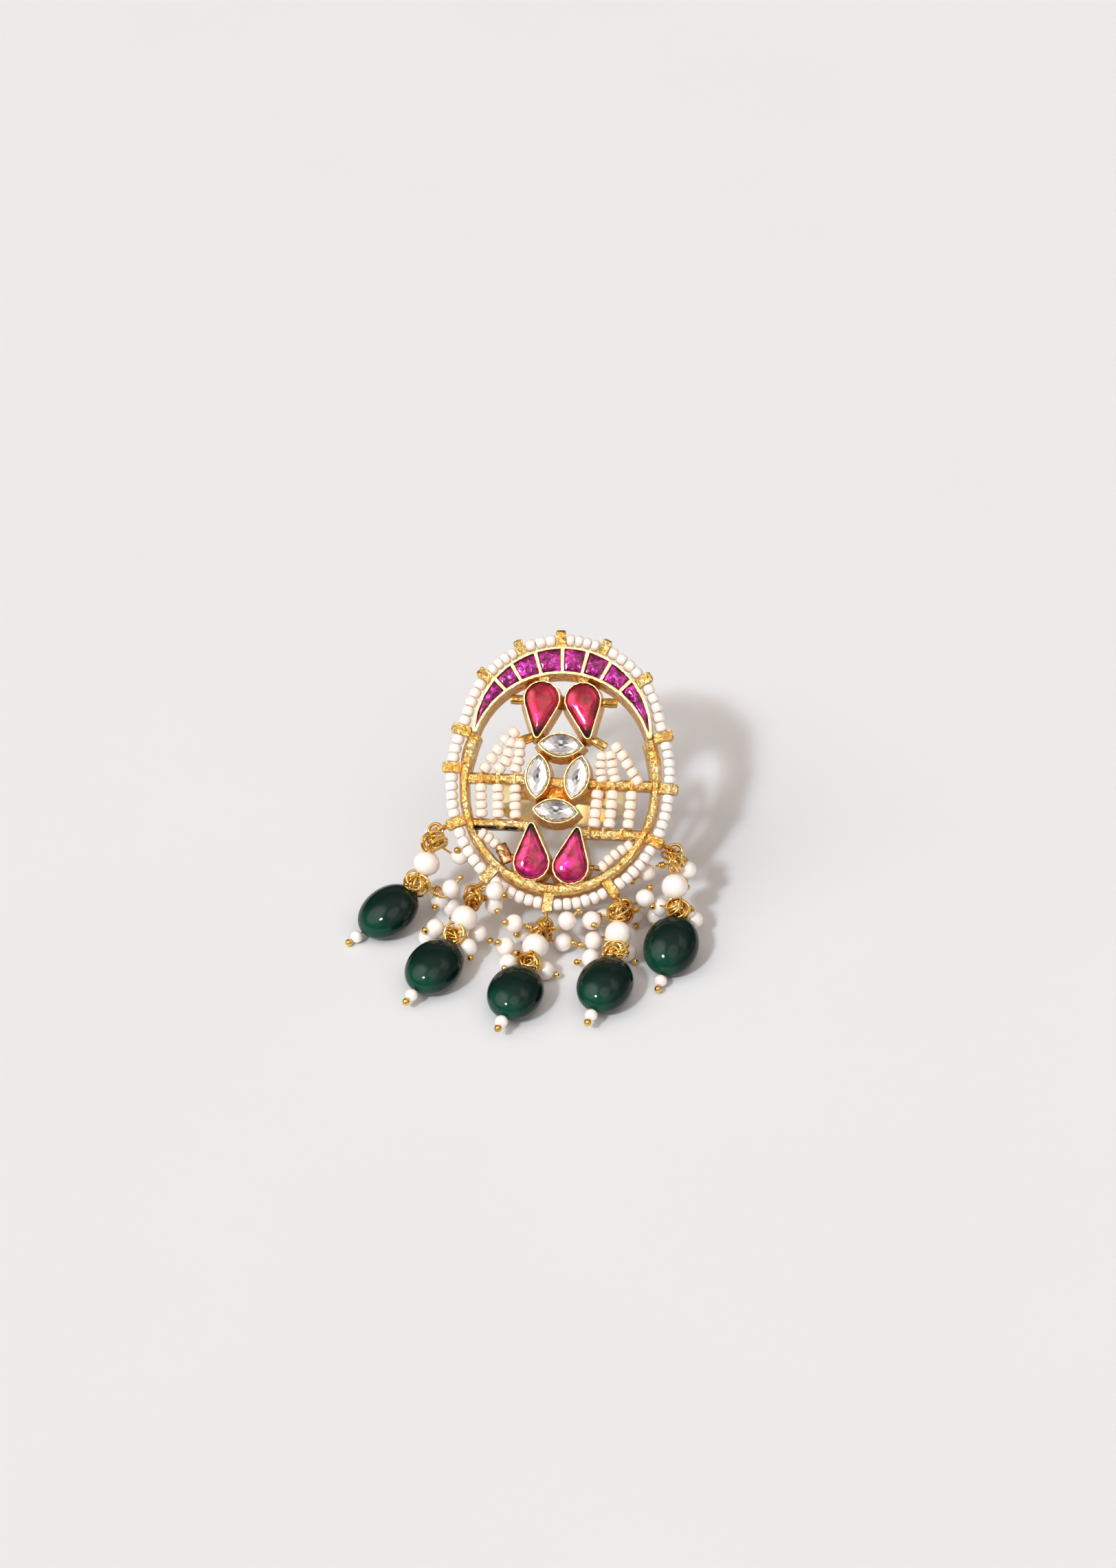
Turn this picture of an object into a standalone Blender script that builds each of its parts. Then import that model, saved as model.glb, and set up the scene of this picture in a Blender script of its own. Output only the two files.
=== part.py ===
"""Statement ring with an open-work oval head, set stones, seed-bead strings and five drops.

Metres, +Z up. The ring lies as it does on a table: on the lower side of its shank and on the
green beads of its drops. The head is laid out in its own plane, as (across, along, out).
"""

import bmesh
import bpy
from math import acos, asin, atan2, cos, degrees, pi, radians, sin, sqrt
from mathutils import Matrix, Vector

MM = 0.001

# Stones of the head
MARQUISE_LENGTH = 6.8 * MM
MARQUISE_WIDTH = 3.5 * MM
MARQUISE_CROWN = 0.75 * MM
UPPER_PEAR_RADIUS = 2.7 * MM
LOWER_PEAR_RADIUS = 2.65 * MM
PEAR_LENGTH = 6.0 * MM
PEAR_TIP_RADIUS = 0.3 * MM
PEAR_DOME = 0.9 * MM

# Gold of the head
HEAD_DEPTH = 3.2 * MM
RIM = 0.32 * MM
FLARE = 0.55 * MM
POCKET_DEPTH = 1.3 * MM
CRESCENT_RADIUS = 14.6 * MM
CRESCENT_WIDTH = 4.6 * MM
CRESCENT_RIM = 0.42 * MM
CRESCENT_RISE = 1.6 * MM
DIVIDER = 0.55 * MM
FRAME_HALF_WIDTH = 15.5 * MM
FRAME_SHOULDER = 1.4 * MM
FRAME_HEEL = 1.3 * MM
FRAME_TOP_WIDTH = 2.2 * MM
FRAME_SIDE_WIDTH = 1.5 * MM
FRAME_FOOT_WIDTH = 2.0 * MM
BAR_WIDTH = 1.7 * MM
BAR_DEPTH = 1.7 * MM
BAR_DROP = 0.75 * MM
TUBE_RADIUS = 0.45 * MM
CORE_GAP = 2.2 * MM
CORNER = 1.88 * MM

# Shank
FINGER_RADIUS = 9.3 * MM
SHANK_WALL = 1.7 * MM
SHANK_WIDTH = 4.2 * MM
SHANK_OFFSET = -1.5 * MM
SHANK_STEP = 0.5 * MM

# Strings of seed beads
SEED_RADIUS = 1.05 * MM
THREAD_RADIUS = 0.2 * MM
STRING_DEPTH = 1.6 * MM
LOOP_WIDTH = 1.6 * MM
LOOP_REACH = 1.6 * MM
LOOP_HOLE = 0.4 * MM
EYE_RADIUS = 0.8 * MM
WIRE = 0.28 * MM

# Drops
LINK_RADIUS = 1.2 * MM
BIG_PEARL_RADIUS = 2.2 * MM
SMALL_PEARL_RADIUS = 1.6 * MM
BEAD_LENGTH = 10.8 * MM
BEAD_WIDTH = 8.9 * MM
BEAD_THICKNESS = 6.4 * MM
TIP_RADIUS = 1.05 * MM
PIN_RADIUS = 0.7 * MM
UPPER_KNOT_LENGTH = 3.75 * MM
LOWER_KNOT_LENGTH = 2.5 * MM

# How the ring lies, and the clearance between pieces
INCLINE = radians(38)
YAW = radians(-3.5)
GAP = 0.12 * MM
SEAT = 0.3 * MM

LEFT, RIGHT = -1, 1
ROUND_SIDES = 10
CURVE_SIDES = 16

# Crescent dividers, as degrees round the crescent from its middle
DIVIDER_ANGLES = (-46.0, -33.0, -17.7, -2.0, 12.5, 27.0, 43.0)

# Outer loops: name, degrees clockwise from the top, drop hung there or 0
OUTER_LOOPS = (
    ("top", -2.5, 0),
    ("top_right", 16.9, 0),
    ("right_upper", 40.1, 0),
    ("right_side", 70.4, 0),
    ("right_mid", 99.0, 0),
    ("right_lower", 126.2, 5),
    ("foot_right", 155.0, 4),
    ("foot", 182.6, 3),
    ("foot_left", 211.0, 2),
    ("left_lower", 239.6, 1),
    ("left_mid", 268.2, 0),
    ("left_side", 289.3, 0),
    ("left_upper", 319.1, 0),
    ("top_left", 339.2, 0),
)

# Drops: number, heading of the chain and of the bead in degrees from straight ahead
DROPS = (
    (1, -45.2, -55.6),
    (2, -26.5, -32.4),
    (3, -17.2, -19.3),
    (4, -9.5, -20.1),
    (5, 1.5, -16.5),
)

# Small pearls: drop, knot (1 upper, 2 lower), place from that knot in small-pearl radii
SMALL_PEARLS = (
    (1, 1, -0.3, 1.6, -0.6),
    (1, 1, 2.4, -0.1, -1.8),
    (1, 2, 0.0, 1.8, -1.1),
    (1, 2, 3.4, -0.4, -0.4),
    (1, 2, 2.2, -0.1, -2.1),
    (1, 2, 3.4, -0.2, -3.1),
    (2, 1, 2.2, -0.4, 1.3),
    (2, 1, 2.1, 0.4, -1.3),
    (2, 2, -2.1, 1.4, -0.1),
    (2, 2, -2.9, 1.8, -1.6),
    (2, 2, 2.2, 2.0, -1.3),
    (2, 2, 1.2, -0.6, -0.9),
    (3, 1, -2.8, 0.9, -0.2),
    (3, 1, -2.0, 1.6, -2.4),
    (3, 1, 2.1, -0.1, -1.8),
    (3, 1, 2.5, 0.1, 0.9),
    (3, 2, -2.4, 3.1, -0.6),
    (3, 2, -2.1, 0.9, -0.9),
    (3, 2, 1.6, 0.3, -1.4),
    (4, 1, -2.8, -0.5, -0.6),
    (4, 1, -1.5, 1.4, -1.9),
    (4, 1, 2.6, 2.3, -0.1),
    (4, 2, -2.3, 2.9, -1.0),
    (4, 2, -2.6, 0.8, -1.5),
    (4, 2, 1.1, 1.9, -1.7),
    (5, 1, -2.4, 0.5, -1.7),
    (5, 1, 1.7, 0.4, -1.3),
    (5, 2, -4.4, 2.0, -2.6),
    (5, 2, -1.8, 1.5, -1.1),
    (5, 2, -2.2, 1.8, -2.5),
    (5, 2, 1.6, 0.1, -1.6),
)

# Inner loops: side, row of pears, on the pear's head or tip, degrees, distance in millimetres
INNER_LOOPS = (
    (-1, "upper", "head", 181.5, 3.9),
    (1, "upper", "head", -1.3, 4.4),
    (-1, "upper", "tip", 201.0, 1.95),
    (1, "upper", "tip", -28.0, 2.3),
    (-1, "lower", "head", 161.6, 5.05),
    (1, "lower", "head", 2.5, 4.6),
)

GOLD = ("gold", (0.83, 0.55, 0.2, 1), 0.28, 1.0)
COLOURS = {
    "ruby": ("ruby", (0.5, 0.01, 0.05, 1), 0.08, 0.0),
    "magenta": ("magenta", (0.45, 0.01, 0.2, 1), 0.12, 0.0),
    "clear": ("clear", (0.8, 0.8, 0.82, 1), 0.05, 0.0),
    "green": ("green", (0.01, 0.05, 0.03, 1), 0.08, 0.0),
    "pearl": ("pearl", (0.88, 0.8, 0.76, 1), 0.2, 0.0),
}

# Layout of the head, worked out from the sizes above
CORE = Vector((-0.45 * MM, -1.0 * MM))
MARQUISE_SIDE = MARQUISE_WIDTH / 2 + RIM + CORE_GAP / 2
MARQUISE_RISE = MARQUISE_LENGTH / 2 + CORNER
PEAR_TIP_RISE = 1.65 * MM
UPPER_TIP = CORE.y + MARQUISE_RISE + PEAR_TIP_RISE
UPPER_HEAD = UPPER_TIP + PEAR_LENGTH
LOWER_TIP = CORE.y - MARQUISE_RISE - 1.9 * PEAR_TIP_RISE
LOWER_HEAD = LOWER_TIP - PEAR_LENGTH
INNER_APEX = UPPER_HEAD + UPPER_PEAR_RADIUS + CRESCENT_RISE
INNER_CENTRE = INNER_APEX - CRESCENT_RADIUS
OUTER_CENTRE = INNER_CENTRE + CRESCENT_WIDTH
MID_CENTRE = (INNER_CENTRE + OUTER_CENTRE) / 2
FRAME_FOOT = LOWER_HEAD - LOWER_PEAR_RADIUS - FRAME_HEEL
FRAME_WIDEST = CORE.y - FRAME_SHOULDER
HEAD_TOP = OUTER_CENTRE + CRESCENT_RADIUS
RING_CENTRE = (HEAD_TOP + FRAME_FOOT) / 2
RING_AWAY = SEED_RADIUS + 2.5 * GAP
BAR_LEFT_MID = CORE.y - 0.4 * MM
BAR_RIGHT_MID = CORE.y - 0.7 * MM
BAR_LEFT_LOW = LOWER_TIP + 0.5 * MM
BAR_RIGHT_LOW = LOWER_TIP - 0.45 * MM


def clear_scene():
    for obj in list(bpy.data.objects):
        bpy.data.objects.remove(obj, do_unlink=True)


def new_collection(name, hidden=False):
    collection = bpy.data.collections.new(name)
    collection.hide_render = hidden
    bpy.context.scene.collection.children.link(collection)
    return collection


def material_for(look):
    name, colour, roughness, metallic = look
    material = bpy.data.materials.new(name)
    material.use_nodes = True
    shader = material.node_tree.nodes["Principled BSDF"]
    shader.inputs["Base Color"].default_value = colour
    shader.inputs["Roughness"].default_value = roughness
    shader.inputs["Metallic"].default_value = metallic
    return material


def face_outwards(bm):
    bmesh.ops.recalc_face_normals(bm, faces=bm.faces)
    if bm.calc_volume(signed=True) < 0:
        bmesh.ops.reverse_faces(bm, faces=bm.faces)


def object_from(name, bm, collection, look=None):
    """The bmesh as an object, with its faces turned outwards."""
    face_outwards(bm)
    mesh = bpy.data.meshes.new(name)
    bm.to_mesh(mesh)
    bm.free()
    obj = bpy.data.objects.new(name, mesh)
    collection.objects.link(obj)
    if look:
        mesh.materials.append(material_for(look))
    return obj


def stack_rings(rings, bm=None):
    """A closed solid through rings of points, each ring with the same number of points."""
    bm = bm or bmesh.new()
    rows = [[bm.verts.new(point) for point in ring] for ring in rings]
    count = len(rows[0])
    for low, high in zip(rows, rows[1:]):
        for i in range(count):
            j = (i + 1) % count
            bm.faces.new((low[i], low[j], high[j], high[i]))
    bm.faces.new(list(reversed(rows[0])))
    bm.faces.new(rows[-1])
    return bm


def at_height(outline, height):
    return [Vector((x, y, height)) for x, y in outline]


def lens_outline(length, width, grow, points=CURVE_SIDES):
    """Two equal arcs that meet in points at the ends of +X and -X, grown outwards by grow."""
    radius = (length**2 + width**2) / (4 * width)
    centre = radius - width / 2
    radius += grow
    half = acos(centre / radius)
    steps = points // 2
    sweep = [half - 2 * half * i / steps for i in range(steps)]
    upper = [(radius * sin(a), radius * cos(a) - centre) for a in sweep]
    lower = [(-x, -y) for x, y in upper]
    return upper + lower


def drop_outline(radius, tip_radius, reach, grow, points=CURVE_SIDES):
    """The outline round a large circle at the origin and a small one at (0, -reach)."""
    big, small = radius + grow, tip_radius + grow
    lean = asin((radius - tip_radius) / reach)
    around_tip = 5
    around_head = points - around_tip
    outline = []
    for i in range(around_head):
        a = -lean + (pi + 2 * lean) * i / (around_head - 1)
        outline.append((big * cos(a), big * sin(a)))
    for i in range(around_tip):
        a = pi + lean + (pi - 2 * lean) * i / (around_tip - 1)
        outline.append((small * cos(a), small * sin(a) - reach))
    return outline


def placed(outline, centre, turn):
    c, s = cos(turn), sin(turn)
    return [(centre[0] + c * x - s * y, centre[1] + s * x + c * y) for x, y in outline]


def collet(name, shape, centre, turn, lift, collection):
    """A flared setting round shape(grow), with an open pocket from its front."""
    rows = (
        (RIM + FLARE, -HEAD_DEPTH + lift),
        (RIM, lift),
        (GAP, lift),
        (GAP, lift - POCKET_DEPTH),
    )
    rings = [at_height(placed(shape(grow), centre, turn), height) for grow, height in rows]
    return object_from(name, stack_rings(rings), collection)


def marquise_shape(grow):
    return lens_outline(MARQUISE_LENGTH, MARQUISE_WIDTH, grow)


def upper_pear_shape(grow):
    return drop_outline(UPPER_PEAR_RADIUS, PEAR_TIP_RADIUS, PEAR_LENGTH, grow)


def lower_pear_shape(grow):
    return drop_outline(LOWER_PEAR_RADIUS, PEAR_TIP_RADIUS, PEAR_LENGTH, grow)


def cut_stone(name, centre, turn, lift, collection):
    """A marquise with a table, two rows of crown facets and a flat foiled back."""
    def ring(share, height):
        outline = [(x * share, y * share) for x, y in marquise_shape(-GAP)]
        return at_height(placed(outline, centre, turn), lift + height)
    back = SEAT - POCKET_DEPTH
    girdle = -0.3 * MM
    rings = [
        ring(0.62, back),
        ring(1.0, girdle),
        ring(0.8, girdle + 0.6 * MARQUISE_CROWN),
        ring(0.52, girdle + MARQUISE_CROWN),
    ]
    return object_from(name, stack_rings(rings), collection, COLOURS["clear"])


def cabochon(name, radius, centre, turn, lift, collection):
    """A pear cabochon that fills its setting: a straight side under a dome."""
    rows = ((1.0, SEAT - POCKET_DEPTH), (1.0, -0.35 * MM))
    dome = [(cos(radians(a)), -0.35 * MM + PEAR_DOME * sin(radians(a))) for a in (30, 62)]
    rings = []
    for share, height in rows + tuple(dome):
        outline = drop_outline(radius, PEAR_TIP_RADIUS, PEAR_LENGTH, -GAP)
        outline = [(x * share, (y + 1.2 * MM) * share - 1.2 * MM) for x, y in outline]
        rings.append(at_height(placed(outline, centre, turn), lift + height))
    return object_from(name, stack_rings(rings), collection, COLOURS["ruby"])


def hit(angle, centre, radius):
    """Where the ray at this angle from the crescent's middle meets a circle on the centre line."""
    ray = Vector((sin(angle), cos(angle)))
    start = Vector((0, MID_CENTRE - centre))
    along = start.dot(ray)
    reach = -along + sqrt(along**2 - start.length_squared + radius**2)
    return Vector((0, MID_CENTRE)) + ray * reach


def crescent_tip(grow):
    """The angle where the crescent's two arcs, moved inwards by grow, meet."""
    outer, inner = CRESCENT_RADIUS - grow, CRESCENT_RADIUS + grow
    rise = (inner**2 - outer**2 + CRESCENT_WIDTH**2) / (2 * CRESCENT_WIDTH)
    across = sqrt(inner**2 - rise**2)
    return atan2(across, INNER_CENTRE + rise - MID_CENTRE)


def crescent_body(collection):
    end = radians(82)
    steps = 22
    rings = []
    for grow, height in ((FLARE, -HEAD_DEPTH), (0, 0)):
        sweep = [-end + 2 * end * i / steps for i in range(steps + 1)]
        outer = [hit(a, OUTER_CENTRE, CRESCENT_RADIUS + 0.4 * grow) for a in sweep]
        inner = [hit(a, INNER_CENTRE, CRESCENT_RADIUS - grow) for a in reversed(sweep)]
        rings.append(at_height(outer + inner, height))
    return object_from("crescent_body", stack_rings(rings), collection)


def crescent_cell(first, last, grow, steps=3):
    """The outline of one stone's cell between two angles, grown outwards by grow."""
    outer_radius = CRESCENT_RADIUS - CRESCENT_RIM + grow
    inner_radius = CRESCENT_RADIUS + CRESCENT_RIM - grow
    tip = crescent_tip(CRESCENT_RIM - grow)
    half = (DIVIDER / 2 - grow) / CRESCENT_RADIUS
    start = -tip if first is None else radians(first) + half
    stop = tip if last is None else radians(last) - half
    sweep = [start + (stop - start) * i / steps for i in range(steps + 1)]
    outer = [hit(a, OUTER_CENTRE, outer_radius) for a in sweep]
    inner = [hit(a, INNER_CENTRE, inner_radius) for a in reversed(sweep)]
    if first is None:
        inner.pop()
    if last is None:
        inner.pop(0)
    return outer + inner


def crescent_cells():
    edges = (None,) + DIVIDER_ANGLES + (None,)
    return list(zip(edges, edges[1:]))


def crescent_stone(name, first, last, collection):
    """A tablet with a table and a row of bevel facets, on a flat foiled back."""
    outline = crescent_cell(first, last, -GAP)
    middle = sum((Vector(p) for p in outline), Vector((0, 0))) / len(outline)
    table = [middle + (Vector(p) - middle) * 0.72 for p in outline]
    rings = [
        at_height(outline, SEAT - POCKET_DEPTH),
        at_height(outline, -0.45 * MM),
        at_height(table, -0.12 * MM),
    ]
    return object_from(name, stack_rings(rings), collection, COLOURS["magenta"])


def frame_width(along):
    """Wide beside the crescent, narrow down the sides, wider again at the foot."""
    top = max(0.0, (along - FRAME_WIDEST) / (MID_CENTRE - FRAME_WIDEST))
    foot = max(0.0, (FRAME_WIDEST - along) / (FRAME_WIDEST - FRAME_FOOT))
    width = FRAME_SIDE_WIDTH + (FRAME_TOP_WIDTH - FRAME_SIDE_WIDTH) * min(1.0, 1.4 * top)
    return width + (FRAME_FOOT_WIDTH - FRAME_SIDE_WIDTH) * foot**6


def frame_route():
    """Centre line of the frame from the crescent's left tip, round the foot, to its right tip."""
    end_x = CRESCENT_RADIUS - 0.45 * MM
    end_y = MID_CENTRE + 1.7 * MM
    rise = end_y - FRAME_WIDEST
    side = []
    for i in range(5):
        share = 1 - i / 5
        x = FRAME_HALF_WIDTH - (FRAME_HALF_WIDTH - end_x) * share**2
        side.append((x, FRAME_WIDEST + rise * share))
    drop = FRAME_WIDEST - FRAME_FOOT
    foot = []
    for i in range(10):
        a = radians(90) * i / 9
        foot.append((FRAME_HALF_WIDTH * cos(a), FRAME_WIDEST - drop * sin(a)))
    half = side + foot
    return [(-x, y) for x, y in half] + [(x, y) for x, y in reversed(half[:-1])]


def sweep_bar(points, section, bm=None):
    """A closed solid whose section(point, side) rings stand across the route's direction."""
    rings = []
    for i, point in enumerate(points):
        before, after = points[max(i - 1, 0)], points[min(i + 1, len(points) - 1)]
        ahead = (Vector(after) - Vector(before)).normalized()
        side = Vector((-ahead.y, ahead.x))
        rings.append(section(Vector(point), side))
    return stack_rings(rings, bm)


def frame_body(collection):
    def section(point, side):
        half = frame_width(point.y) / 2
        rows = (
            (-half - 0.15 * MM, -HEAD_DEPTH + 0.05 * MM),
            (half + 0.15 * MM, -HEAD_DEPTH + 0.05 * MM),
            (half, -1.05 * MM),
            (0.5 * half, -0.28 * MM),
            (-0.5 * half, -0.28 * MM),
            (-half, -1.05 * MM),
        )
        return [(*(point + side * across), height) for across, height in rows]
    return object_from("frame_body", sweep_bar(frame_route(), section), collection)


def bar(name, start, end, collection):
    """A cross bar between two points of the head, with chamfered front edges."""
    def section(point, side):
        half = BAR_WIDTH / 2
        top, low = -BAR_DROP, -BAR_DROP - BAR_DEPTH
        rows = ((-half, low), (half, low), (half, top - 0.4 * MM), (0.5 * half, top))
        rows += ((-0.5 * half, top), (-half, top - 0.4 * MM))
        return [(*(point + side * across), height) for across, height in rows]
    return object_from(name, sweep_bar([start, end], section), collection)


def cylinder(name, start, end, radius, collection, sides=ROUND_SIDES):
    """A closed cylinder between two points."""
    start, end = Vector(start), Vector(end)
    axis = end - start
    bm = bmesh.new()
    bmesh.ops.create_cone(
        bm, cap_ends=True, segments=sides, radius1=radius, radius2=radius, depth=axis.length
    )
    turn = axis.to_track_quat("Z", "Y").to_matrix().to_4x4()
    bm.transform(Matrix.Translation((start + end) / 2) @ turn)
    return object_from(name, bm, collection)


def torus_into(bm, centre, axis, major, minor, around=ROUND_SIDES, sides=5):
    """A wire ring in the bmesh, as a tube of few sides."""
    axis = Vector(axis).normalized()
    first = axis.orthogonal().normalized()
    second = axis.cross(first)
    rows = []
    for i in range(around):
        a = 2 * pi * i / around
        out = first * cos(a) + second * sin(a)
        row = []
        for j in range(sides):
            b = 2 * pi * j / sides
            offset = out * (major + minor * cos(b)) + axis * (minor * sin(b))
            row.append(bm.verts.new(Vector(centre) + offset))
        rows.append(row)
    for i in range(around):
        here, there = rows[i], rows[(i + 1) % around]
        for j in range(sides):
            k = (j + 1) % sides
            bm.faces.new((here[j], here[k], there[k], there[j]))


def torus(name, centre, axis, major, minor, collection, look=None, around=ROUND_SIDES, sides=5):
    bm = bmesh.new()
    torus_into(bm, centre, axis, major, minor, around, sides)
    return object_from(name, bm, collection, look)


def gold_outline(away):
    """The outline of the gold, moved outwards, clockwise from the top."""
    right = []
    for i in range(12):
        a = radians(80) * i / 11
        radius = CRESCENT_RADIUS + away
        right.append(Vector((radius * sin(a), OUTER_CENTRE + radius * cos(a))))
    route = [Vector(p) for p in reversed(frame_route())]
    for i, here in enumerate(route[1 : len(route) // 2 + 1], 1):
        ahead = (route[i + 1] - route[i - 1]).normalized()
        out = Vector((-ahead.y, ahead.x))
        right.append(here + out * (frame_width(here.y) / 2 + away))
    left = [Vector((-p.x, p.y)) for p in reversed(right[1:-1])]
    return right + left


def loop_place(degrees_round):
    """A point of the bead ring's centre line in the head's plane, and the way out from it."""
    a = radians(degrees_round)
    ray = Vector((sin(a), cos(a)))
    centre = Vector((0, RING_CENTRE))
    outline = gold_outline(RING_AWAY)
    for here, there in zip(outline, outline[1:] + outline[:1]):
        run = there - here
        away = ray.cross(run)
        share = (here - centre).cross(ray) / away if away else -1
        if 0 <= share <= 1 and ray.dot(here - centre) > 0:
            out = Vector((-run.y, run.x)).normalized()
            return here + run * share, out if out.dot(ray) > 0 else -out
    return centre, ray


def outer_loop(name, degrees_round, has_drop, pieces, cutters):
    """A square-ended loop on the frame's outer side, with a hole for the thread."""
    point, out = loop_place(degrees_round)
    side = Vector((-out.y, out.x))
    half = LOOP_WIDTH / 2
    inner = point - out * (RING_AWAY + 0.7 * CRESCENT_RIM)
    outer = point + out * LOOP_REACH

    def ring(at, share):
        corners = ((-half, -half), (half, -half), (half, half), (-half, half))
        return [(*(at + side * x * share), -STRING_DEPTH + z * share) for x, z in corners]
    rings = [ring(inner, 1.0), ring(outer - out * 0.3 * MM, 1.0), ring(outer, 0.7)]
    block = object_from(name, stack_rings(rings), pieces)
    reach = side * LOOP_WIDTH
    ends = [(*(point - reach), -STRING_DEPTH), (*(point + reach), -STRING_DEPTH)]
    cylinder(name + "_hole", ends[0], ends[1], LOOP_HOLE, cutters, 6)
    join_into(block, None, cutters)
    if has_drop:
        centre = eye_place(degrees_round)
        torus(name + "_eye", centre, (side.x, side.y, 0), EYE_RADIUS, WIRE, pieces)


def eye_place(degrees_round):
    point, out = loop_place(degrees_round)
    centre = point + out * (LOOP_REACH + EYE_RADIUS)
    return Vector((*centre, -STRING_DEPTH))


def bead_ring_route():
    """The bead ring's centre line, with its radius: thin in each loop and full between them."""
    turns = sorted(angle % 360 for _, angle, _ in OUTER_LOOPS)
    points = []
    for here, there in zip(turns, turns[1:] + [turns[0] + 360]):
        half = LOOP_WIDTH / 2 + SEAT
        first = here + degrees(half / (loop_place(here)[0] - Vector((0, RING_CENTRE))).length)
        last = there - degrees(half / (loop_place(there)[0] - Vector((0, RING_CENTRE))).length)
        points.append((first - 0.1, THREAD_RADIUS))
        points += [(first + (last - first) * i / 2, SEED_RADIUS) for i in range(3)]
        points.append((last + 0.1, THREAD_RADIUS))
    return [(*loop_place(a)[0], -STRING_DEPTH, radius) for a, radius in points]


def tube_object(name, points, radius, collection, look, closed=False):
    """A round tube along the points: (x, y, z) or (x, y, z, radius of its own)."""
    curve = bpy.data.curves.new(name, "CURVE")
    curve.dimensions = "3D"
    curve.bevel_depth = radius
    curve.bevel_resolution = 2
    curve.use_fill_caps = True
    spline = curve.splines.new("POLY")
    spline.points.add(len(points) - 1)
    for target, point in zip(spline.points, points):
        target.co = (*point[:3], 1)
        target.radius = point[3] / radius if len(point) == 4 else 1.0
    spline.use_cyclic_u = closed
    obj = bpy.data.objects.new(name, curve)
    collection.objects.link(obj)
    if look:
        curve.materials.append(material_for(look))
    return obj


def as_mesh(obj):
    """The curve object as a mesh object with welded caps, in the same collection."""
    graph = bpy.context.evaluated_depsgraph_get()
    mesh = bpy.data.meshes.new_from_object(obj.evaluated_get(graph))
    bm = bmesh.new()
    bm.from_mesh(mesh)
    bmesh.ops.remove_doubles(bm, verts=bm.verts, dist=1e-7)
    face_outwards(bm)
    bm.to_mesh(mesh)
    bm.free()
    name, collection, matrix = obj.name, obj.users_collection[0], obj.matrix_world.copy()
    bpy.data.objects.remove(obj, do_unlink=True)
    solid = bpy.data.objects.new(name, mesh)
    solid.matrix_world = matrix
    collection.objects.link(solid)
    return solid


def shank_body(collection):
    """The finger band: a D-shaped section turned about the finger's axis."""
    outer = FINGER_RADIUS + SHANK_WALL
    half = SHANK_WIDTH / 2
    rows = (
        (FINGER_RADIUS, -half + 0.3 * MM),
        (FINGER_RADIUS, half - 0.3 * MM),
        (outer - 0.7 * SHANK_WALL, half),
        (outer - 0.2 * SHANK_WALL, half - 0.4 * MM),
        (outer, 0.35 * half),
        (outer, -0.35 * half),
        (outer - 0.2 * SHANK_WALL, -half + 0.4 * MM),
        (outer - 0.7 * SHANK_WALL, -half),
    )
    centre = Vector((CORE.x, CORE.y + SHANK_OFFSET, -HEAD_DEPTH - SHANK_STEP - FINGER_RADIUS))
    steps = 24
    bm = bmesh.new()
    ring_rows = []
    for i in range(steps):
        a = 2 * pi * i / steps
        points = [centre + Vector((r * sin(a), y, r * cos(a))) for r, y in rows]
        ring_rows.append([bm.verts.new(p) for p in points])
    for i in range(steps):
        here, there = ring_rows[i], ring_rows[(i + 1) % steps]
        for j in range(len(rows)):
            k = (j + 1) % len(rows)
            bm.faces.new((here[j], here[k], there[k], there[j]))
    return object_from("shank_body", bm, collection)


def frame_inner(along, side):
    """Where the frame's centre line is at this height, on the left or the right."""
    if along > FRAME_WIDEST:
        rise = (along - FRAME_WIDEST) / (MID_CENTRE + 1.7 * MM - FRAME_WIDEST)
        reach = FRAME_HALF_WIDTH - (FRAME_HALF_WIDTH - CRESCENT_RADIUS + 0.45 * MM) * rise**2
    else:
        fall = (FRAME_WIDEST - along) / (FRAME_WIDEST - FRAME_FOOT)
        reach = FRAME_HALF_WIDTH * sqrt(1 - min(fall, 1.0) ** 2)
    return side * reach


# Strings inside the head: side, shares of the way from the frame to the stones, per string
LEFT_TUBES = (0.27, 0.55, 0.84)
RIGHT_TUBES = (0.35, 0.64, 0.87)


def bar_span(side, level):
    """The two ends of a cross bar: on the frame and on the stones' settings."""
    if side == LEFT:
        along = BAR_LEFT_MID if level == "mid" else BAR_LEFT_LOW
    else:
        along = BAR_RIGHT_MID if level == "mid" else BAR_RIGHT_LOW
    inner = CORE.x + side * (MARQUISE_SIDE + MARQUISE_WIDTH / 2 + RIM)
    if level == "low":
        centre, turn, _ = pear_place(side, "lower")
        tip = centre + Vector((sin(turn), -cos(turn))) * PEAR_LENGTH
        inner = tip.x + side * (PEAR_TIP_RADIUS + 0.6 * RIM + 0.34 * abs(along - tip.y))
    return Vector((frame_inner(along, side), along)), Vector((inner, along))


def pear_place(side, row):
    """A pear's centre, the turn of its point from straight down, and its radius."""
    if row == "upper":
        across = -0.22 * MM + side * (UPPER_PEAR_RADIUS + RIM + 0.31 * MM)
        return Vector((across, UPPER_HEAD)), radians(-5 if side == LEFT else 10), UPPER_PEAR_RADIUS
    across = -0.77 * MM + side * (LOWER_PEAR_RADIUS + RIM + 0.2 * MM)
    centre = Vector((across, LOWER_HEAD - side * 0.2 * MM))
    return centre, radians(183 if side == LEFT else 172.5), LOWER_PEAR_RADIUS


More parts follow.
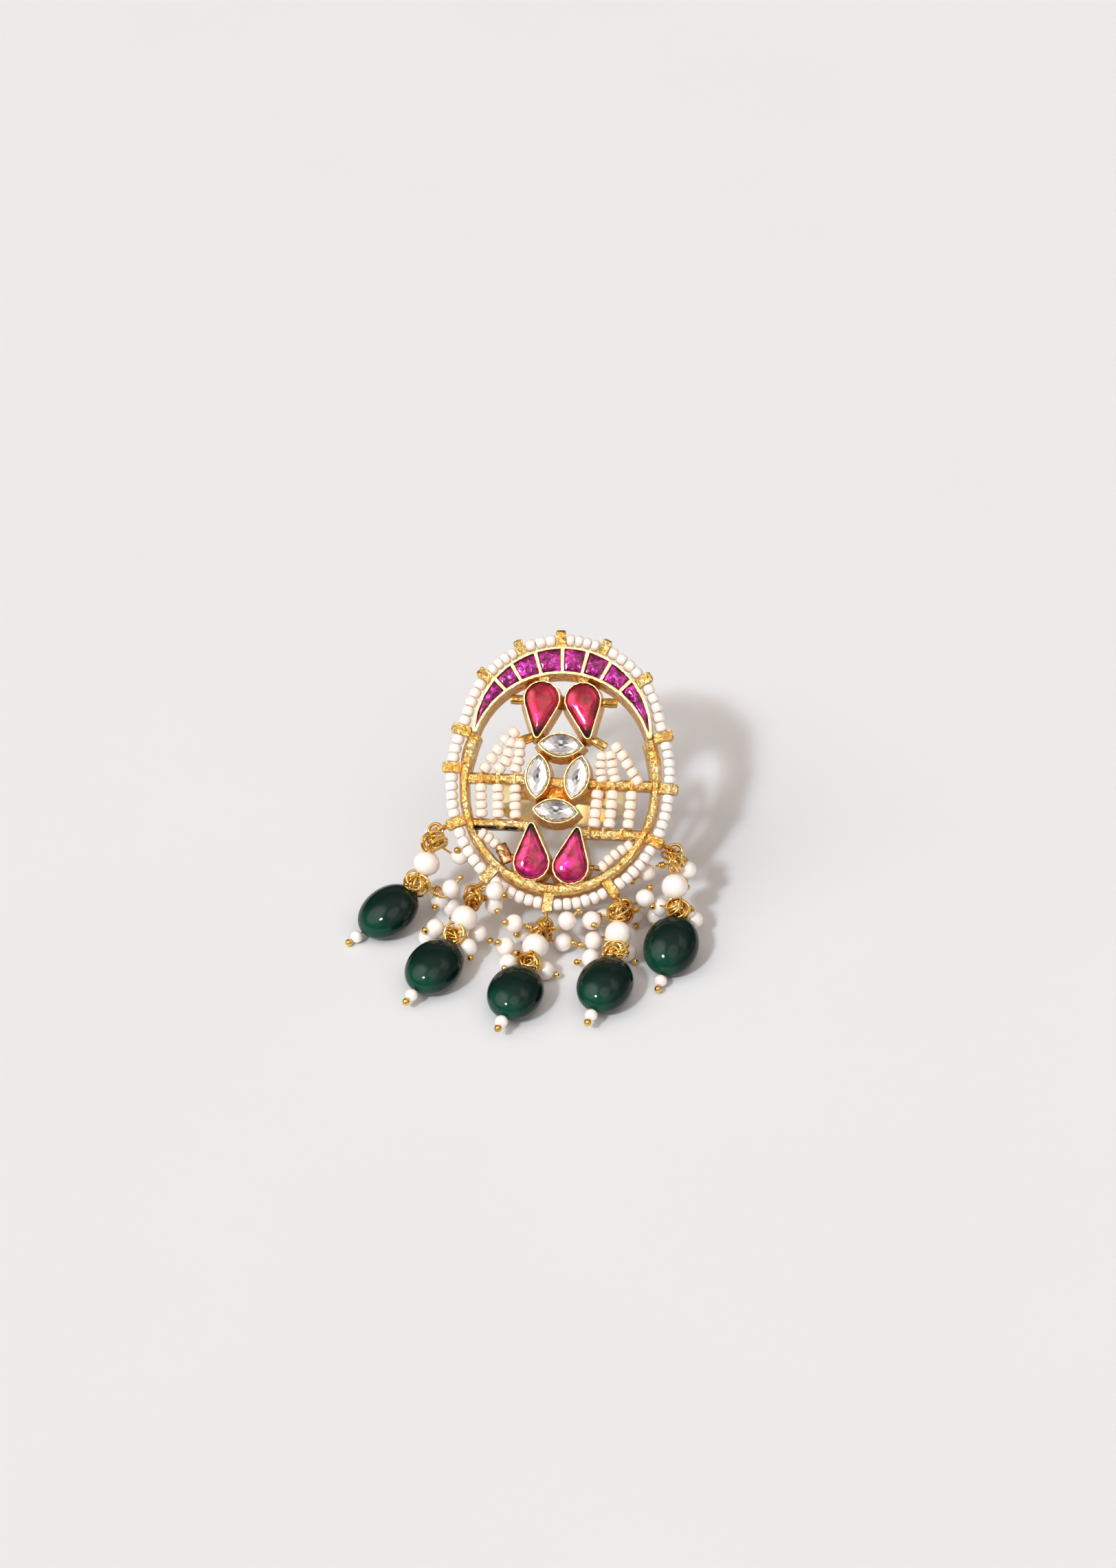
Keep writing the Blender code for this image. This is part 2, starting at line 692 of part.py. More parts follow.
def settings(pieces):
    """The flared settings of the stones, and where each stone goes."""
    top = CORE + Vector((0.35 * MM, MARQUISE_RISE))
    low = CORE + Vector((0, -MARQUISE_RISE - 0.35 * MM))
    left = CORE + Vector((-MARQUISE_SIDE, 0))
    right = CORE + Vector((MARQUISE_SIDE, 0))
    marquises = (
        ("marquise_top", top, radians(-1)),
        ("marquise_left", left, radians(89)),
        ("marquise_right", right, radians(79)),
        ("marquise_bottom", low, radians(-3)),
    )
    pears = []
    for row, shape in (("upper", upper_pear_shape), ("lower", lower_pear_shape)):
        for side, name in ((LEFT, "left"), (RIGHT, "right")):
            pears.append((f"pear_{row}_{name}", *pear_place(side, row), shape))
    for i, (name, centre, turn) in enumerate(marquises):
        collet(name + "_setting", marquise_shape, centre, turn, (0.25 + 0.01 * i) * MM, pieces)
    for i, (name, centre, turn, _, shape) in enumerate(pears):
        collet(name + "_setting", shape, centre, turn, (0.1 + 0.01 * i) * MM, pieces)
    return marquises, pears


def join_into(base, others, cutters):
    """Unite the base with the other solids and cut the cutters from it, as one mesh."""
    for collection, operation in ((others, "UNION"), (cutters, "DIFFERENCE")):
        if collection is None or not collection.objects:
            continue
        modifier = base.modifiers.new(operation.lower(), "BOOLEAN")
        modifier.operation = operation
        modifier.operand_type = "COLLECTION"
        modifier.collection = collection
        modifier.solver = "EXACT"
        modifier.use_self = operation == "UNION"
    graph = bpy.context.evaluated_depsgraph_get()
    mesh = bpy.data.meshes.new_from_object(base.evaluated_get(graph))
    base.modifiers.clear()
    base.data = mesh
    for collection in (others, cutters):
        for obj in list(collection.objects) if collection else ():
            bpy.data.objects.remove(obj, do_unlink=True)
    return base


def build_head(parts, pieces, cutters):
    """All of the soldered gold: settings, crescent, frame, bars, loops and shank."""
    marquises, pears = settings(pieces)
    frame_body(pieces)
    shank_body(pieces)
    for side, name in ((LEFT, "left"), (RIGHT, "right")):
        for level in ("mid", "low"):
            start, end = bar_span(side, level)
            bar(f"bar_{name}_{level}", start, end, pieces)
            for share in LEFT_TUBES if side == LEFT else RIGHT_TUBES:
                if side == LEFT and level == "low":
                    continue
                at = start.lerp(end, share)
                reach = Vector((0, BAR_WIDTH / 2 + 0.08 * MM))
                height = -BAR_DROP - TUBE_RADIUS + 0.2 * MM
                ends = [(*(at - reach), height), (*(at + reach), height)]
                cylinder(f"tube_{name}_{level}_{share}", ends[0], ends[1], TUBE_RADIUS, pieces, 8)
    cross = [CORE + Vector((x * (CORE_GAP / 2 + RIM + 0.5 * MM), -0.7 * MM)) for x in (-1, 1)]
    bar("core_bar", cross[0], cross[1], pieces)
    for side, name in ((LEFT, "left"), (RIGHT, "right")):
        centre, _, radius = pear_place(side, "upper")
        foot = centre + Vector((0, radius + 0.6 * RIM))
        across = foot.x - side * 0.6 * MM
        top = INNER_CENTRE + sqrt(CRESCENT_RADIUS**2 - across**2) - 0.1 * MM
        bar(f"crown_bar_{name}", foot, (across, top), pieces)
    level = -STRING_DEPTH + 0.2 * MM
    for i, (centre, out, foot) in enumerate(inner_loop_places()):
        across = Vector((-out.y, out.x, 0))
        torus(f"inner_loop_{i}", (*centre, level), across, EYE_RADIUS, 1.3 * WIRE, pieces, around=8)
        end = centre - out * (EYE_RADIUS - WIRE)
        cylinder(f"inner_stub_{i}", (*foot, level), (*end, level), 1.7 * WIRE, pieces, 6)
    for name, angle, drop in OUTER_LOOPS:
        outer_loop("loop_" + name, angle, drop > 0, pieces, cutters)
    head = crescent_body(parts)
    for i, (first, last) in enumerate(crescent_cells()):
        outline = crescent_cell(first, last, 0)
        rings = [at_height(outline, -POCKET_DEPTH), at_height(outline, 1.0 * MM)]
        object_from(f"cell_{i}", stack_rings(rings), cutters)
    join_into(head, None, cutters)
    head.name = "ring_frame"
    join_into(head, pieces, None)
    head.data.materials.clear()
    head.data.materials.append(material_for(GOLD))
    return head, marquises, pears


def inner_loop_places():
    """Small loops inside the head that strings end on: centre, way out, length of the stub."""
    places = []
    for side, row, on, angle, distance in INNER_LOOPS:
        centre, turn, radius = pear_place(side, row)
        if on == "tip":
            centre = centre + Vector((sin(turn), -cos(turn))) * PEAR_LENGTH
            radius = PEAR_TIP_RADIUS
        out = Vector((cos(radians(angle)), sin(radians(angle))))
        foot = centre + out * (radius + 0.7 * RIM)
        places.append((centre + out * distance * MM, out, foot))
    return places


def head_strings(parts):
    """Seed strings inside the head, each a plain tube between the metal that holds it."""
    height = -STRING_DEPTH + 0.45 * MM
    look = COLOURS["pearl"]
    loops = [centre for centre, _, _ in inner_loop_places()]
    for side, name, shares, corner, foot in (
        (LEFT, "left", LEFT_TUBES, loops[2], loops[4]),
        (RIGHT, "right", RIGHT_TUBES, loops[3], loops[5]),
    ):
        mid = bar_span(side, "mid")
        low = bar_span(side, "low")
        tops = [mid[0].lerp(mid[1], share) for share in shares]
        half_bar = BAR_WIDTH / 2 + SEAT + 0.05 * MM
        for i, top in enumerate(tops):
            end_x = top.x - side * 0.4 * MM
            start = (top.x, top.y - half_bar, height)
            end = (end_x, low[0].y + half_bar, height)
            tube_object(f"string_{name}_{i + 1}", [start, end], SEED_RADIUS, parts, look)
        fan(f"fan_{name}", side, corner, tops, half_bar, height, parts, look)
        short_string(f"short_string_{name}", low, foot, height, parts, look)


def fan(name, side, corner, tops, half_bar, height, parts, look):
    """Three strings that spread from one loop to the tubes of the bar below it, as one body."""
    hub = Vector((corner[0] + side * (EYE_RADIUS + WIRE * 1.3 + SEAT + 0.9 * SEED_RADIUS), corner[1]))
    pieces = []
    group = new_collection(name + "_pieces", True)
    for i, top in enumerate(tops):
        foot = Vector((top.x, top.y + half_bar + 0.4 * MM))
        bulge = Vector((side * 0.9 * MM, 0.4 * MM)) * (1.0 - 0.5 * i)
        middle = hub.lerp(foot, 0.5) + (bulge if i < 2 else Vector((0, 0)))
        route = [(*hub, height), (*middle, height), (*foot, height)]
        pieces.append(as_mesh(tube_object(f"{name}_{i}", route, SEED_RADIUS, group, None)))
    base = pieces[0]
    group.objects.unlink(base)
    parts.objects.link(base)
    base.name = name
    join_into(base, group, None)
    base.data.materials.clear()
    base.data.materials.append(material_for(look))


def short_string(name, low, foot, height, parts, look):
    """The short string from under the lower bar's outer end to the loop beside the foot."""
    radius = 0.85 * SEED_RADIUS
    start = low[0].lerp(low[1], 0.34) - Vector((0, BAR_WIDTH / 2 + radius + SEAT))
    way = (start - foot).normalized()
    end = foot + way * (EYE_RADIUS + WIRE * 1.3 + SEAT)
    tube_object(name, [(*start, height), (*end, height)], radius, parts, look)


def pose_of_head():
    """The head's place in the world, with the shank's lower edge on the table."""
    turn = Matrix.Rotation(YAW, 4, "Z") @ Matrix.Rotation(INCLINE, 4, "X")
    half = SHANK_WIDTH / 2 - 0.4 * MM
    deep = HEAD_DEPTH + SHANK_STEP + 2 * FINGER_RADIUS + 0.8 * SHANK_WALL
    edge = Vector((0, CORE.y + SHANK_OFFSET - half, -deep))
    lift = -(turn @ edge).z
    return Matrix.Translation((0, 0, lift)) @ turn


def ellipsoid_into(bm, centre, frame, radii, around, rows):
    """A sphere scaled by radii along the frame's axes, in the bmesh."""
    scale = Matrix.Diagonal((*radii, 1))
    matrix = Matrix.Translation(centre) @ frame.to_4x4() @ scale
    bmesh.ops.create_uvsphere(bm, u_segments=around, v_segments=rows, radius=1, matrix=matrix)


def axes_along(ahead):
    """A turn whose Z axis points ahead and whose X axis is level."""
    ahead = Vector(ahead).normalized()
    level = Vector((0, 0, 1)).cross(ahead)
    level = level.normalized() if level.length > 1e-6 else Vector((1, 0, 0))
    up = ahead.cross(level)
    return Matrix((level, up, ahead)).transposed()


def build_drop(number, chain_heading, bead_heading, anchor, tangent, parts):
    """One drop: knot of links, big pearl, knot of links, green bead, end bead and pin."""
    reach = UPPER_KNOT_LENGTH + 2 * BIG_PEARL_RADIUS + LOWER_KNOT_LENGTH + BEAD_LENGTH / 2
    rest = BEAD_THICKNESS / 2
    slope = asin((anchor.z - rest) / reach)
    tilt = slope / 2
    centre_height = sqrt((BEAD_LENGTH / 2 * sin(tilt)) ** 2 + (rest * cos(tilt)) ** 2)
    level = sqrt(reach**2 - (anchor.z - centre_height) ** 2)
    ahead = radians(chain_heading)
    bead_at = anchor + Vector((sin(ahead), -cos(ahead), 0)) * level
    bead_at.z = centre_height
    turn = radians(bead_heading)
    axis = Vector((sin(turn) * cos(tilt), -cos(turn) * cos(tilt), -sin(tilt)))
    inner_end = bead_at - axis * (BEAD_LENGTH / 2)
    chain = inner_end - anchor
    way = chain.normalized()
    slack = chain.length - (reach - BEAD_LENGTH / 2)
    upper_length = UPPER_KNOT_LENGTH + slack / 2
    lower_length = LOWER_KNOT_LENGTH + slack / 2
    pearl_at = anchor + way * (upper_length + BIG_PEARL_RADIUS)
    frame = axes_along(axis)

    bm = bmesh.new()
    radii = (BEAD_WIDTH / 2, BEAD_THICKNESS / 2, BEAD_LENGTH / 2)
    ellipsoid_into(bm, bead_at, frame, radii, 12, 7)
    object_from(f"drop_{number}_bead", bm, parts, COLOURS["green"])

    bm = bmesh.new()
    ball = (BIG_PEARL_RADIUS,) * 3
    ellipsoid_into(bm, pearl_at, axes_along(way), ball, 12, 6)
    object_from(f"drop_{number}_pearl", bm, parts, COLOURS["pearl"])

    end_pieces(number, bead_at, axis, parts)
    small = 0.6 * LINK_RADIUS
    down = (way - tangent * way.dot(tangent)).normalized()
    link = (anchor + down * LINK_RADIUS, down.cross(tangent), LINK_RADIUS)
    far = on_ring(*link, pearl_at)
    step = (pearl_at - far).normalized()
    upper = [link, (far + step * (small - 1.2 * WIRE), tangent - step * tangent.dot(step), small)]
    middle = anchor + way * (upper_length - 1.7 * MM)
    build_knot(number, 1, upper, middle, parts)
    middle = pearl_at + way * (BIG_PEARL_RADIUS + lower_length / 2)
    across = way.cross(Vector((0, 0, 1))).normalized()
    lower = [(middle, across.cross(way), small)]
    build_knot(number, 2, lower, middle, parts)


def end_pieces(number, bead_at, axis, parts):
    """The white bead on the green bead's outer end with its ball-headed pin, turned as one."""
    base = bead_at + axis * (BEAD_LENGTH / 2 + TIP_RADIUS + GAP)
    frame = axes_along(axis)
    rows = [(TIP_RADIUS * sin(pi * i / 5), -TIP_RADIUS * cos(pi * i / 5)) for i in range(1, 4)]
    pin_at = TIP_RADIUS + 0.75 * PIN_RADIUS
    rows.append((0.5 * PIN_RADIUS, 0.92 * TIP_RADIUS))
    rows += [(0.87 * PIN_RADIUS, pin_at - 0.5 * PIN_RADIUS), (0.87 * PIN_RADIUS, pin_at + 0.5 * PIN_RADIUS)]
    turns = [2 * pi * i / ROUND_SIDES for i in range(ROUND_SIDES)]
    rings = []
    for radius, along in rows:
        rings.append([base + frame @ Vector((radius * cos(a), radius * sin(a), along)) for a in turns])
    bm = stack_rings(rings)
    for face in [f for f in bm.faces if len(f.verts) == ROUND_SIDES]:
        outer = -TIP_RADIUS if face.calc_center_median() @ axis < base @ axis else pin_at + PIN_RADIUS
        bmesh.ops.poke(bm, faces=[face])
        bm.verts.ensure_lookup_table()
        bm.verts[-1].co = base + axis * outer
    object_from(f"drop_{number}_tip", bm, parts, COLOURS["pearl"])


def on_ring(centre, axis, radius, target):
    """The point of a ring's wire that is nearest to the target."""
    axis = axis.normalized()
    away = target - centre
    away = away - axis * away.dot(axis)
    return centre + away.normalized() * radius


def wired_pearl(name, hook, centre, collection):
    """A small pearl turned together with the wire that runs from its side to the hook."""
    frame = axes_along(hook - centre)
    reach = max((hook - centre).length, 1.15 * SMALL_PEARL_RADIUS)
    bm = bmesh.new()

    def ring(radius, along, sides):
        turns = [2 * pi * i / sides for i in range(sides)]
        points = [centre + frame @ Vector((radius * cos(a), radius * sin(a), along)) for a in turns]
        return [bm.verts.new(point) for point in points]

    pole = bm.verts.new(centre - frame @ Vector((0, 0, SMALL_PEARL_RADIUS)))
    rows = []
    for i in range(1, 5):
        a = pi * i / 5
        rows.append(ring(SMALL_PEARL_RADIUS * sin(a), -SMALL_PEARL_RADIUS * cos(a), ROUND_SIDES))
    for i in range(ROUND_SIDES):
        j = (i + 1) % ROUND_SIDES
        bm.faces.new((pole, rows[0][j], rows[0][i]))
        for low, high in zip(rows, rows[1:]):
            bm.faces.new((low[i], low[j], high[j], high[i]))
    neck = ring(WIRE, SMALL_PEARL_RADIUS, ROUND_SIDES // 2)
    end = ring(WIRE, reach, ROUND_SIDES // 2)
    last = rows[-1]
    for i in range(len(neck)):
        j = (i + 1) % len(neck)
        bm.faces.new((last[2 * i], last[2 * i + 1], neck[i]))
        bm.faces.new((last[2 * i + 1], last[(2 * i + 2) % ROUND_SIDES], neck[j], neck[i]))
        bm.faces.new((neck[i], neck[j], end[j], end[i]))
    bm.faces.new(end)
    object_from(name, bm, collection)


def build_knot(number, knot, rings, middle, parts):
    """Links fused where they cross, with small pearls wired to the last of them, as one body."""
    group = new_collection(f"drop_{number}_knot_{knot}_pieces", True)
    centre, axis, radius = rings[0]
    base = torus(f"drop_{number}_knot_{knot}", centre, axis, radius, WIRE, parts)
    for i, (centre, axis, radius) in enumerate(rings[1:]):
        torus(f"link_{number}_{knot}_{i}", centre, axis, radius, WIRE, group)
    for i, (drop, at_knot, x, y, z) in enumerate(SMALL_PEARLS):
        if (drop, at_knot) != (number, knot):
            continue
        place = middle + Vector((x, y, z)) * SMALL_PEARL_RADIUS
        place.z = max(place.z, SMALL_PEARL_RADIUS)
        hook = on_ring(*rings[-1], place)
        wired_pearl(f"small_pearl_{i}", hook, place, group)
    join_into(base, group, None)
    base.data.materials.clear()
    base.data.materials.append(material_for(COLOURS["pearl"]))


def stand_at_origin(parts, stand):
    """Shift the whole ring so that the middle of its footprint is the origin."""
    graph = bpy.context.evaluated_depsgraph_get()
    low, high = Vector((1, 1, 1)), Vector((-1, -1, -1))
    for obj in parts.objects:
        if obj.type == "EMPTY":
            continue
        evaluated = obj.evaluated_get(graph)
        mesh = evaluated.to_mesh()
        for vertex in mesh.vertices:
            point = evaluated.matrix_world @ vertex.co
            low = Vector(map(min, low, point))
            high = Vector(map(max, high, point))
        evaluated.to_mesh_clear()
    stand.location = (-(low.x + high.x) / 2, -(low.y + high.y) / 2, -low.z)


def main():
    clear_scene()
    parts = new_collection("statement_ring")
    pieces = new_collection("head_pieces", True)
    cutters = new_collection("head_cutters", True)
    head, marquises, pears = build_head(parts, pieces, cutters)

    for i, (first, last) in enumerate(crescent_cells()):
        crescent_stone(f"crescent_stone_{i + 1}", first, last, parts)
    for i, (name, centre, turn) in enumerate(marquises):
        cut_stone(name, centre, turn, (0.25 + 0.01 * i) * MM, parts)
    for i, (name, centre, turn, radius, _) in enumerate(pears):
        cabochon(name, radius, centre, turn, (0.1 + 0.01 * i) * MM, parts)
    tube_object("bead_ring", bead_ring_route(), SEED_RADIUS, parts, COLOURS["pearl"], True)
    head_strings(parts)

    stand = bpy.data.objects.new("stand", None)
    parts.objects.link(stand)
    head_frame = bpy.data.objects.new("head_frame", None)
    parts.objects.link(head_frame)
    head_frame.matrix_world = pose_of_head()
    bpy.context.view_layer.update()
    for obj in list(parts.objects):
        if obj.type != "EMPTY":
            obj.parent = head_frame
    head_frame.parent = stand

    pose = pose_of_head()
    loop_angles = {drop: angle for _, angle, drop in OUTER_LOOPS if drop}
    on_head = set(parts.objects)
    for number, chain_heading, bead_heading in DROPS:
        angle = loop_angles[number]
        anchor = pose @ eye_place(angle)
        _, out = loop_place(angle)
        tangent = pose.to_3x3() @ Vector((-out.y, out.x, 0))
        build_drop(number, chain_heading, bead_heading, anchor, tangent, parts)
    for obj in set(parts.objects) - on_head:
        obj.parent = stand
    bpy.context.view_layer.update()
    stand_at_origin(parts, stand)


main()
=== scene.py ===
"""The statement ring dressed for its picture: gold, foiled stones, seed beads, pearls and drops."""

from math import acos, asin, atan2, cos, pi, radians, sin, sqrt
from random import Random

import bmesh
import bpy
from mathutils import Matrix, Vector, noise


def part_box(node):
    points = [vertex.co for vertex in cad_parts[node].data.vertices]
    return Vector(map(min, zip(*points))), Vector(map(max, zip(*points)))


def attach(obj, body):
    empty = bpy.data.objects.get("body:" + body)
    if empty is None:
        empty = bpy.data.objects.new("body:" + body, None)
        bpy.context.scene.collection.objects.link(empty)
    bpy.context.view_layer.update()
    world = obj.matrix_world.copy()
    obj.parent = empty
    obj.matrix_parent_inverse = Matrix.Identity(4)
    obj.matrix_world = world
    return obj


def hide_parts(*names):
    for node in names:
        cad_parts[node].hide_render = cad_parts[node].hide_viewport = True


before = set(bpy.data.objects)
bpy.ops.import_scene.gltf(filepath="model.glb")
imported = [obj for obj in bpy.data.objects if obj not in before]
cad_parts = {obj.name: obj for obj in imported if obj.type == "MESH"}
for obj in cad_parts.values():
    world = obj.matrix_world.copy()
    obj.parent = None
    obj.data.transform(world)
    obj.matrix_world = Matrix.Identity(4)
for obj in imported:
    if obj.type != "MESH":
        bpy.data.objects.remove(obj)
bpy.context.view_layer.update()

MM = 0.001

# Sizes of the head
MARQUISE_LENGTH = 6.8 * MM
MARQUISE_WIDTH = 3.5 * MM
MARQUISE_CROWN = 0.75 * MM
UPPER_PEAR_RADIUS = 2.7 * MM
LOWER_PEAR_RADIUS = 2.65 * MM
PEAR_LENGTH = 6.0 * MM
PEAR_TIP_RADIUS = 0.3 * MM
PEAR_DOME = 0.9 * MM
PEAR_TOP_DOWN = 1.2 * MM
HEAD_DEPTH = 3.2 * MM
RIM = 0.32 * MM
POCKET_DEPTH = 1.3 * MM
CRESCENT_RADIUS = 14.6 * MM
CRESCENT_WIDTH = 4.6 * MM
CRESCENT_RIM = 0.42 * MM
CRESCENT_RISE = 1.6 * MM
TABLET_GROW = 0.03 * MM
STONE_GROW = 0.04 * MM
DIVIDER = 0.55 * MM
FRAME_HALF_WIDTH = 15.5 * MM
FRAME_SHOULDER = 1.4 * MM
FRAME_HEEL = 1.3 * MM
FRAME_TOP_WIDTH = 2.2 * MM
FRAME_SIDE_WIDTH = 1.5 * MM
FRAME_FOOT_WIDTH = 2.0 * MM
FRAME_END_IN = 0.45 * MM
FRAME_END_UP = 1.7 * MM
BAR_WIDTH = 1.7 * MM
CORE_GAP = 2.2 * MM
CORNER = 1.88 * MM
FINGER_RADIUS = 9.3 * MM
SHANK_WALL = 1.7 * MM
SHANK_WIDTH = 4.2 * MM
SHANK_OFFSET = -1.5 * MM
SHANK_STEP = 0.5 * MM
SHANK_EDGE = 0.4 * MM

# Beads, loops and drops
SEED_RADIUS = 1.05 * MM
SEED_PITCH = 1.56 * MM
THREAD_RADIUS = 0.2 * MM
STRING_DEPTH = 1.6 * MM
STRING_LIFT = 0.45 * MM
STRING_GAP = 0.1 * MM
LOOP_WIDTH = 1.6 * MM
LOOP_REACH = 1.6 * MM
EYE_RADIUS = 0.8 * MM
WIRE = 0.28 * MM
LINK_RADIUS = 1.2 * MM
BIG_PEARL_RADIUS = 2.2 * MM
SMALL_PEARL_RADIUS = 1.6 * MM
BEAD_LENGTH = 10.8 * MM
BEAD_WIDTH = 8.9 * MM
BEAD_THICKNESS = 6.4 * MM
TIP_RADIUS = 1.05 * MM
PIN_RADIUS = 0.7 * MM
SMALL_BALL_RADIUS = 0.56 * MM
SMALL_BALL_REST = 0.58 * MM
UPPER_KNOT_LENGTH = 3.75 * MM
UPPER_PEARLS_BACK = 1.7 * MM
LOWER_KNOT_LENGTH = 2.5 * MM
INCLINE = radians(38)
YAW = radians(-3.5)
GAP = 0.12 * MM
SEAT = 0.3 * MM
LEFT, RIGHT = -1, 1

# Layout of the head
CORE = Vector((-0.45 * MM, -1.0 * MM))
MARQUISE_SIDE = MARQUISE_WIDTH / 2 + RIM + CORE_GAP / 2
MARQUISE_RISE = MARQUISE_LENGTH / 2 + CORNER
PEAR_TIP_RISE = 1.65 * MM
UPPER_TIP = CORE.y + MARQUISE_RISE + PEAR_TIP_RISE
UPPER_HEAD = UPPER_TIP + PEAR_LENGTH
LOWER_TIP = CORE.y - MARQUISE_RISE - 1.9 * PEAR_TIP_RISE
LOWER_HEAD = LOWER_TIP - PEAR_LENGTH
INNER_CENTRE = UPPER_HEAD + UPPER_PEAR_RADIUS + CRESCENT_RISE - CRESCENT_RADIUS
OUTER_CENTRE = INNER_CENTRE + CRESCENT_WIDTH
MID_CENTRE = (INNER_CENTRE + OUTER_CENTRE) / 2
FRAME_FOOT = LOWER_HEAD - LOWER_PEAR_RADIUS - FRAME_HEEL
FRAME_WIDEST = CORE.y - FRAME_SHOULDER
FRAME_RISE = MID_CENTRE + FRAME_END_UP - FRAME_WIDEST
FRAME_FALL = FRAME_WIDEST - FRAME_FOOT
STRING_LEVEL = STRING_LIFT - STRING_DEPTH
RING_CENTRE = (OUTER_CENTRE + CRESCENT_RADIUS + FRAME_FOOT) / 2
RING_AWAY = SEED_RADIUS + 2.5 * GAP
BAR_LEVELS = {
    (LEFT, "mid"): CORE.y - 0.4 * MM,
    (RIGHT, "mid"): CORE.y - 0.7 * MM,
    (LEFT, "low"): LOWER_TIP + 0.5 * MM,
    (RIGHT, "low"): LOWER_TIP - 0.45 * MM,
}

# Crescent dividers, as degrees round the crescent from its middle
DIVIDER_ANGLES = (-46.0, -33.0, -17.7, -2.0, 12.5, 27.0, 43.0)

# Outer loops, in degrees clockwise from the top
OUTER_LOOPS = (-2.5, 16.9, 40.1, 70.4, 99.0, 126.2, 155.0, 182.6, 211.0, 239.6, 268.2, 289.3, 319.1, 339.2)

# Drops: number, loop it hangs from, heading of its chain and of its bead in degrees from straight ahead
DROPS = (
    (1, 239.6, -45.2, -55.6),
    (2, 211.0, -26.5, -32.4),
    (3, 182.6, -17.2, -19.3),
    (4, 155.0, -9.5, -20.1),
    (5, 126.2, 1.5, -16.5),
)

# Small pearls of each drop and knot: place from the knot in small-pearl radii, then where the ball
# pin shows: degrees counter-clockwise from the picture's right, and distance in radii
SMALL_PEARLS = {
    (1, 1): ((-0.3, 1.6, -0.6, -117, 1.6), (2.4, -0.1, -1.8, 120, 0.6)),
    (1, 2): (
        (0.0, 1.8, -1.1, -142, 1.6), (3.4, -0.4, -0.4, 50, 1.45), (2.2, -0.1, -2.1, -120, 0.9),
        (3.4, -0.2, -3.1, -88, 1.6)
    ),
    (2, 1): ((2.2, -0.4, 1.3, -26, 1.1), (2.1, 0.4, -1.3, -60, 0.7)),
    (2, 2): (
        (-2.1, 1.4, -0.1, -170, 1.0), (-2.9, 1.8, -1.6, 114, 0.6), (2.2, 2.0, -1.3, -33, 1.45),
        (1.2, -0.6, -0.9, -73, 1.1)
    ),
    (3, 1): (
        (-2.8, 0.9, -0.2, 170, 0.9), (-2.0, 1.6, -2.4, -165, 0.6), (2.1, -0.1, -1.8, -4, 1.05),
        (2.5, 0.1, 0.9, 40, 1.6)
    ),
    (3, 2): ((-2.4, 3.1, -0.6, 150, 0.85), (-2.1, 0.9, -0.9, -129, 0.55), (1.6, 0.3, -1.4, -20, 1.2)),
    (4, 1): ((-2.8, -0.5, -0.6, -62, 0.5), (-1.5, 1.4, -1.9, -140, 0.8), (2.6, 2.3, -0.1, 64, 1.2)),
    (4, 2): ((-2.3, 2.9, -1.0, -161, 1.4), (-2.6, 0.8, -1.5, -164, 1.4), (1.1, 1.9, -1.7, -52, 1.25)),
    (5, 1): ((-2.4, 0.5, -1.7, -147, 1.7), (1.7, 0.4, -1.3, -91, 1.75)),
    (5, 2): (
        (-4.4, 2.0, -2.6, -81, 1.3), (-1.8, 1.5, -1.1, 173, 0.8), (-2.2, 1.8, -2.5, -100, 1.0),
        (1.6, 0.1, -1.6, -88, 1.5)
    ),
}

# Seeds of the fans, string by string from the outside in: centres across and along the head, millimetres
FAN_SEEDS = {
    "fan_left": (
        ((-7.9, 6.3), (-9.2, 5.1), (-10.4, 3.4), (-11.3, 1.9), (-12.2, 0.3)),
        ((-8.3, 4.6), (-8.55, 2.9), (-9, 1.5), (-9.9, 0.3)),
        ((-6.8, 4.3), (-6.8, 2.9), (-6.9, 1.6), (-7.3, 0.3)),
    ),
    "fan_right": (
        ((8.9, 4.5), (9.95, 3.2), (10.8, 1.8), (11.7, 0.4), (12.5, -0.9)),
        ((7.95, 3.1), (8.3, 1.7), (8.5, 0.4), (8.9, -0.8)),
        ((6.5, 2.9), (6.4, 1.5), (6.5, 0.2), (6.7, -0.9)),
    ),
}

# Seeds of the short strings, in the same way
SHORT_SEEDS = {
    "short_string_left": ((-12.1, -10.65), (-11.05, -11.3), (-10.05, -12.1)),
    "short_string_right": ((11.6, -11.7), (10.5, -12.4), (9.45, -13.2), (8.45, -14.15), (7.5, -15.2)),
}

# Long strings between the bars: side, name, where they leave the middle bar, from the frame inwards
LONG_STRINGS = (
    (LEFT, "left", (0.27, 0.55, 0.84)),
    (RIGHT, "right", (0.35, 0.64, 0.87)),
)

# Gold sleeves beside the upper pears: name, side, end of the pear, direction in degrees, millimetres away
UPPER_SLEEVES = (
    ("left_high", LEFT, "head", 181.5, 3.9),
    ("right_high", RIGHT, "head", -1.3, 4.4),
    ("left_low", LEFT, "tip", 201.0, 1.95),
    ("right_low", RIGHT, "tip", -28.0, 2.3),
)

# Foils: colours from dark to bright, size of a crease, its depth, index of the glass over it
FOILS = {
    "magenta": ((0.05, 0.0008, 0.02), (0.27, 0.003, 0.12), (0.7, 0.045, 0.55), 0.9 * MM, 0.22 * MM, 1.4),
    "crimson": ((0.13, 0.0002, 0.006), (0.42, 0.0004, 0.022), (0.74, 0.004, 0.1), 2.4 * MM, 0.16 * MM, 1.55),
    "rose": ((0.2, 0.0005, 0.02), (0.48, 0.001, 0.08), (0.8, 0.02, 0.34), 1.8 * MM, 0.16 * MM, 1.55),
}
# Painted shade: how far from a pear's tip its foil darkens
TIP_SHADE_REACH = 1.9 * MM
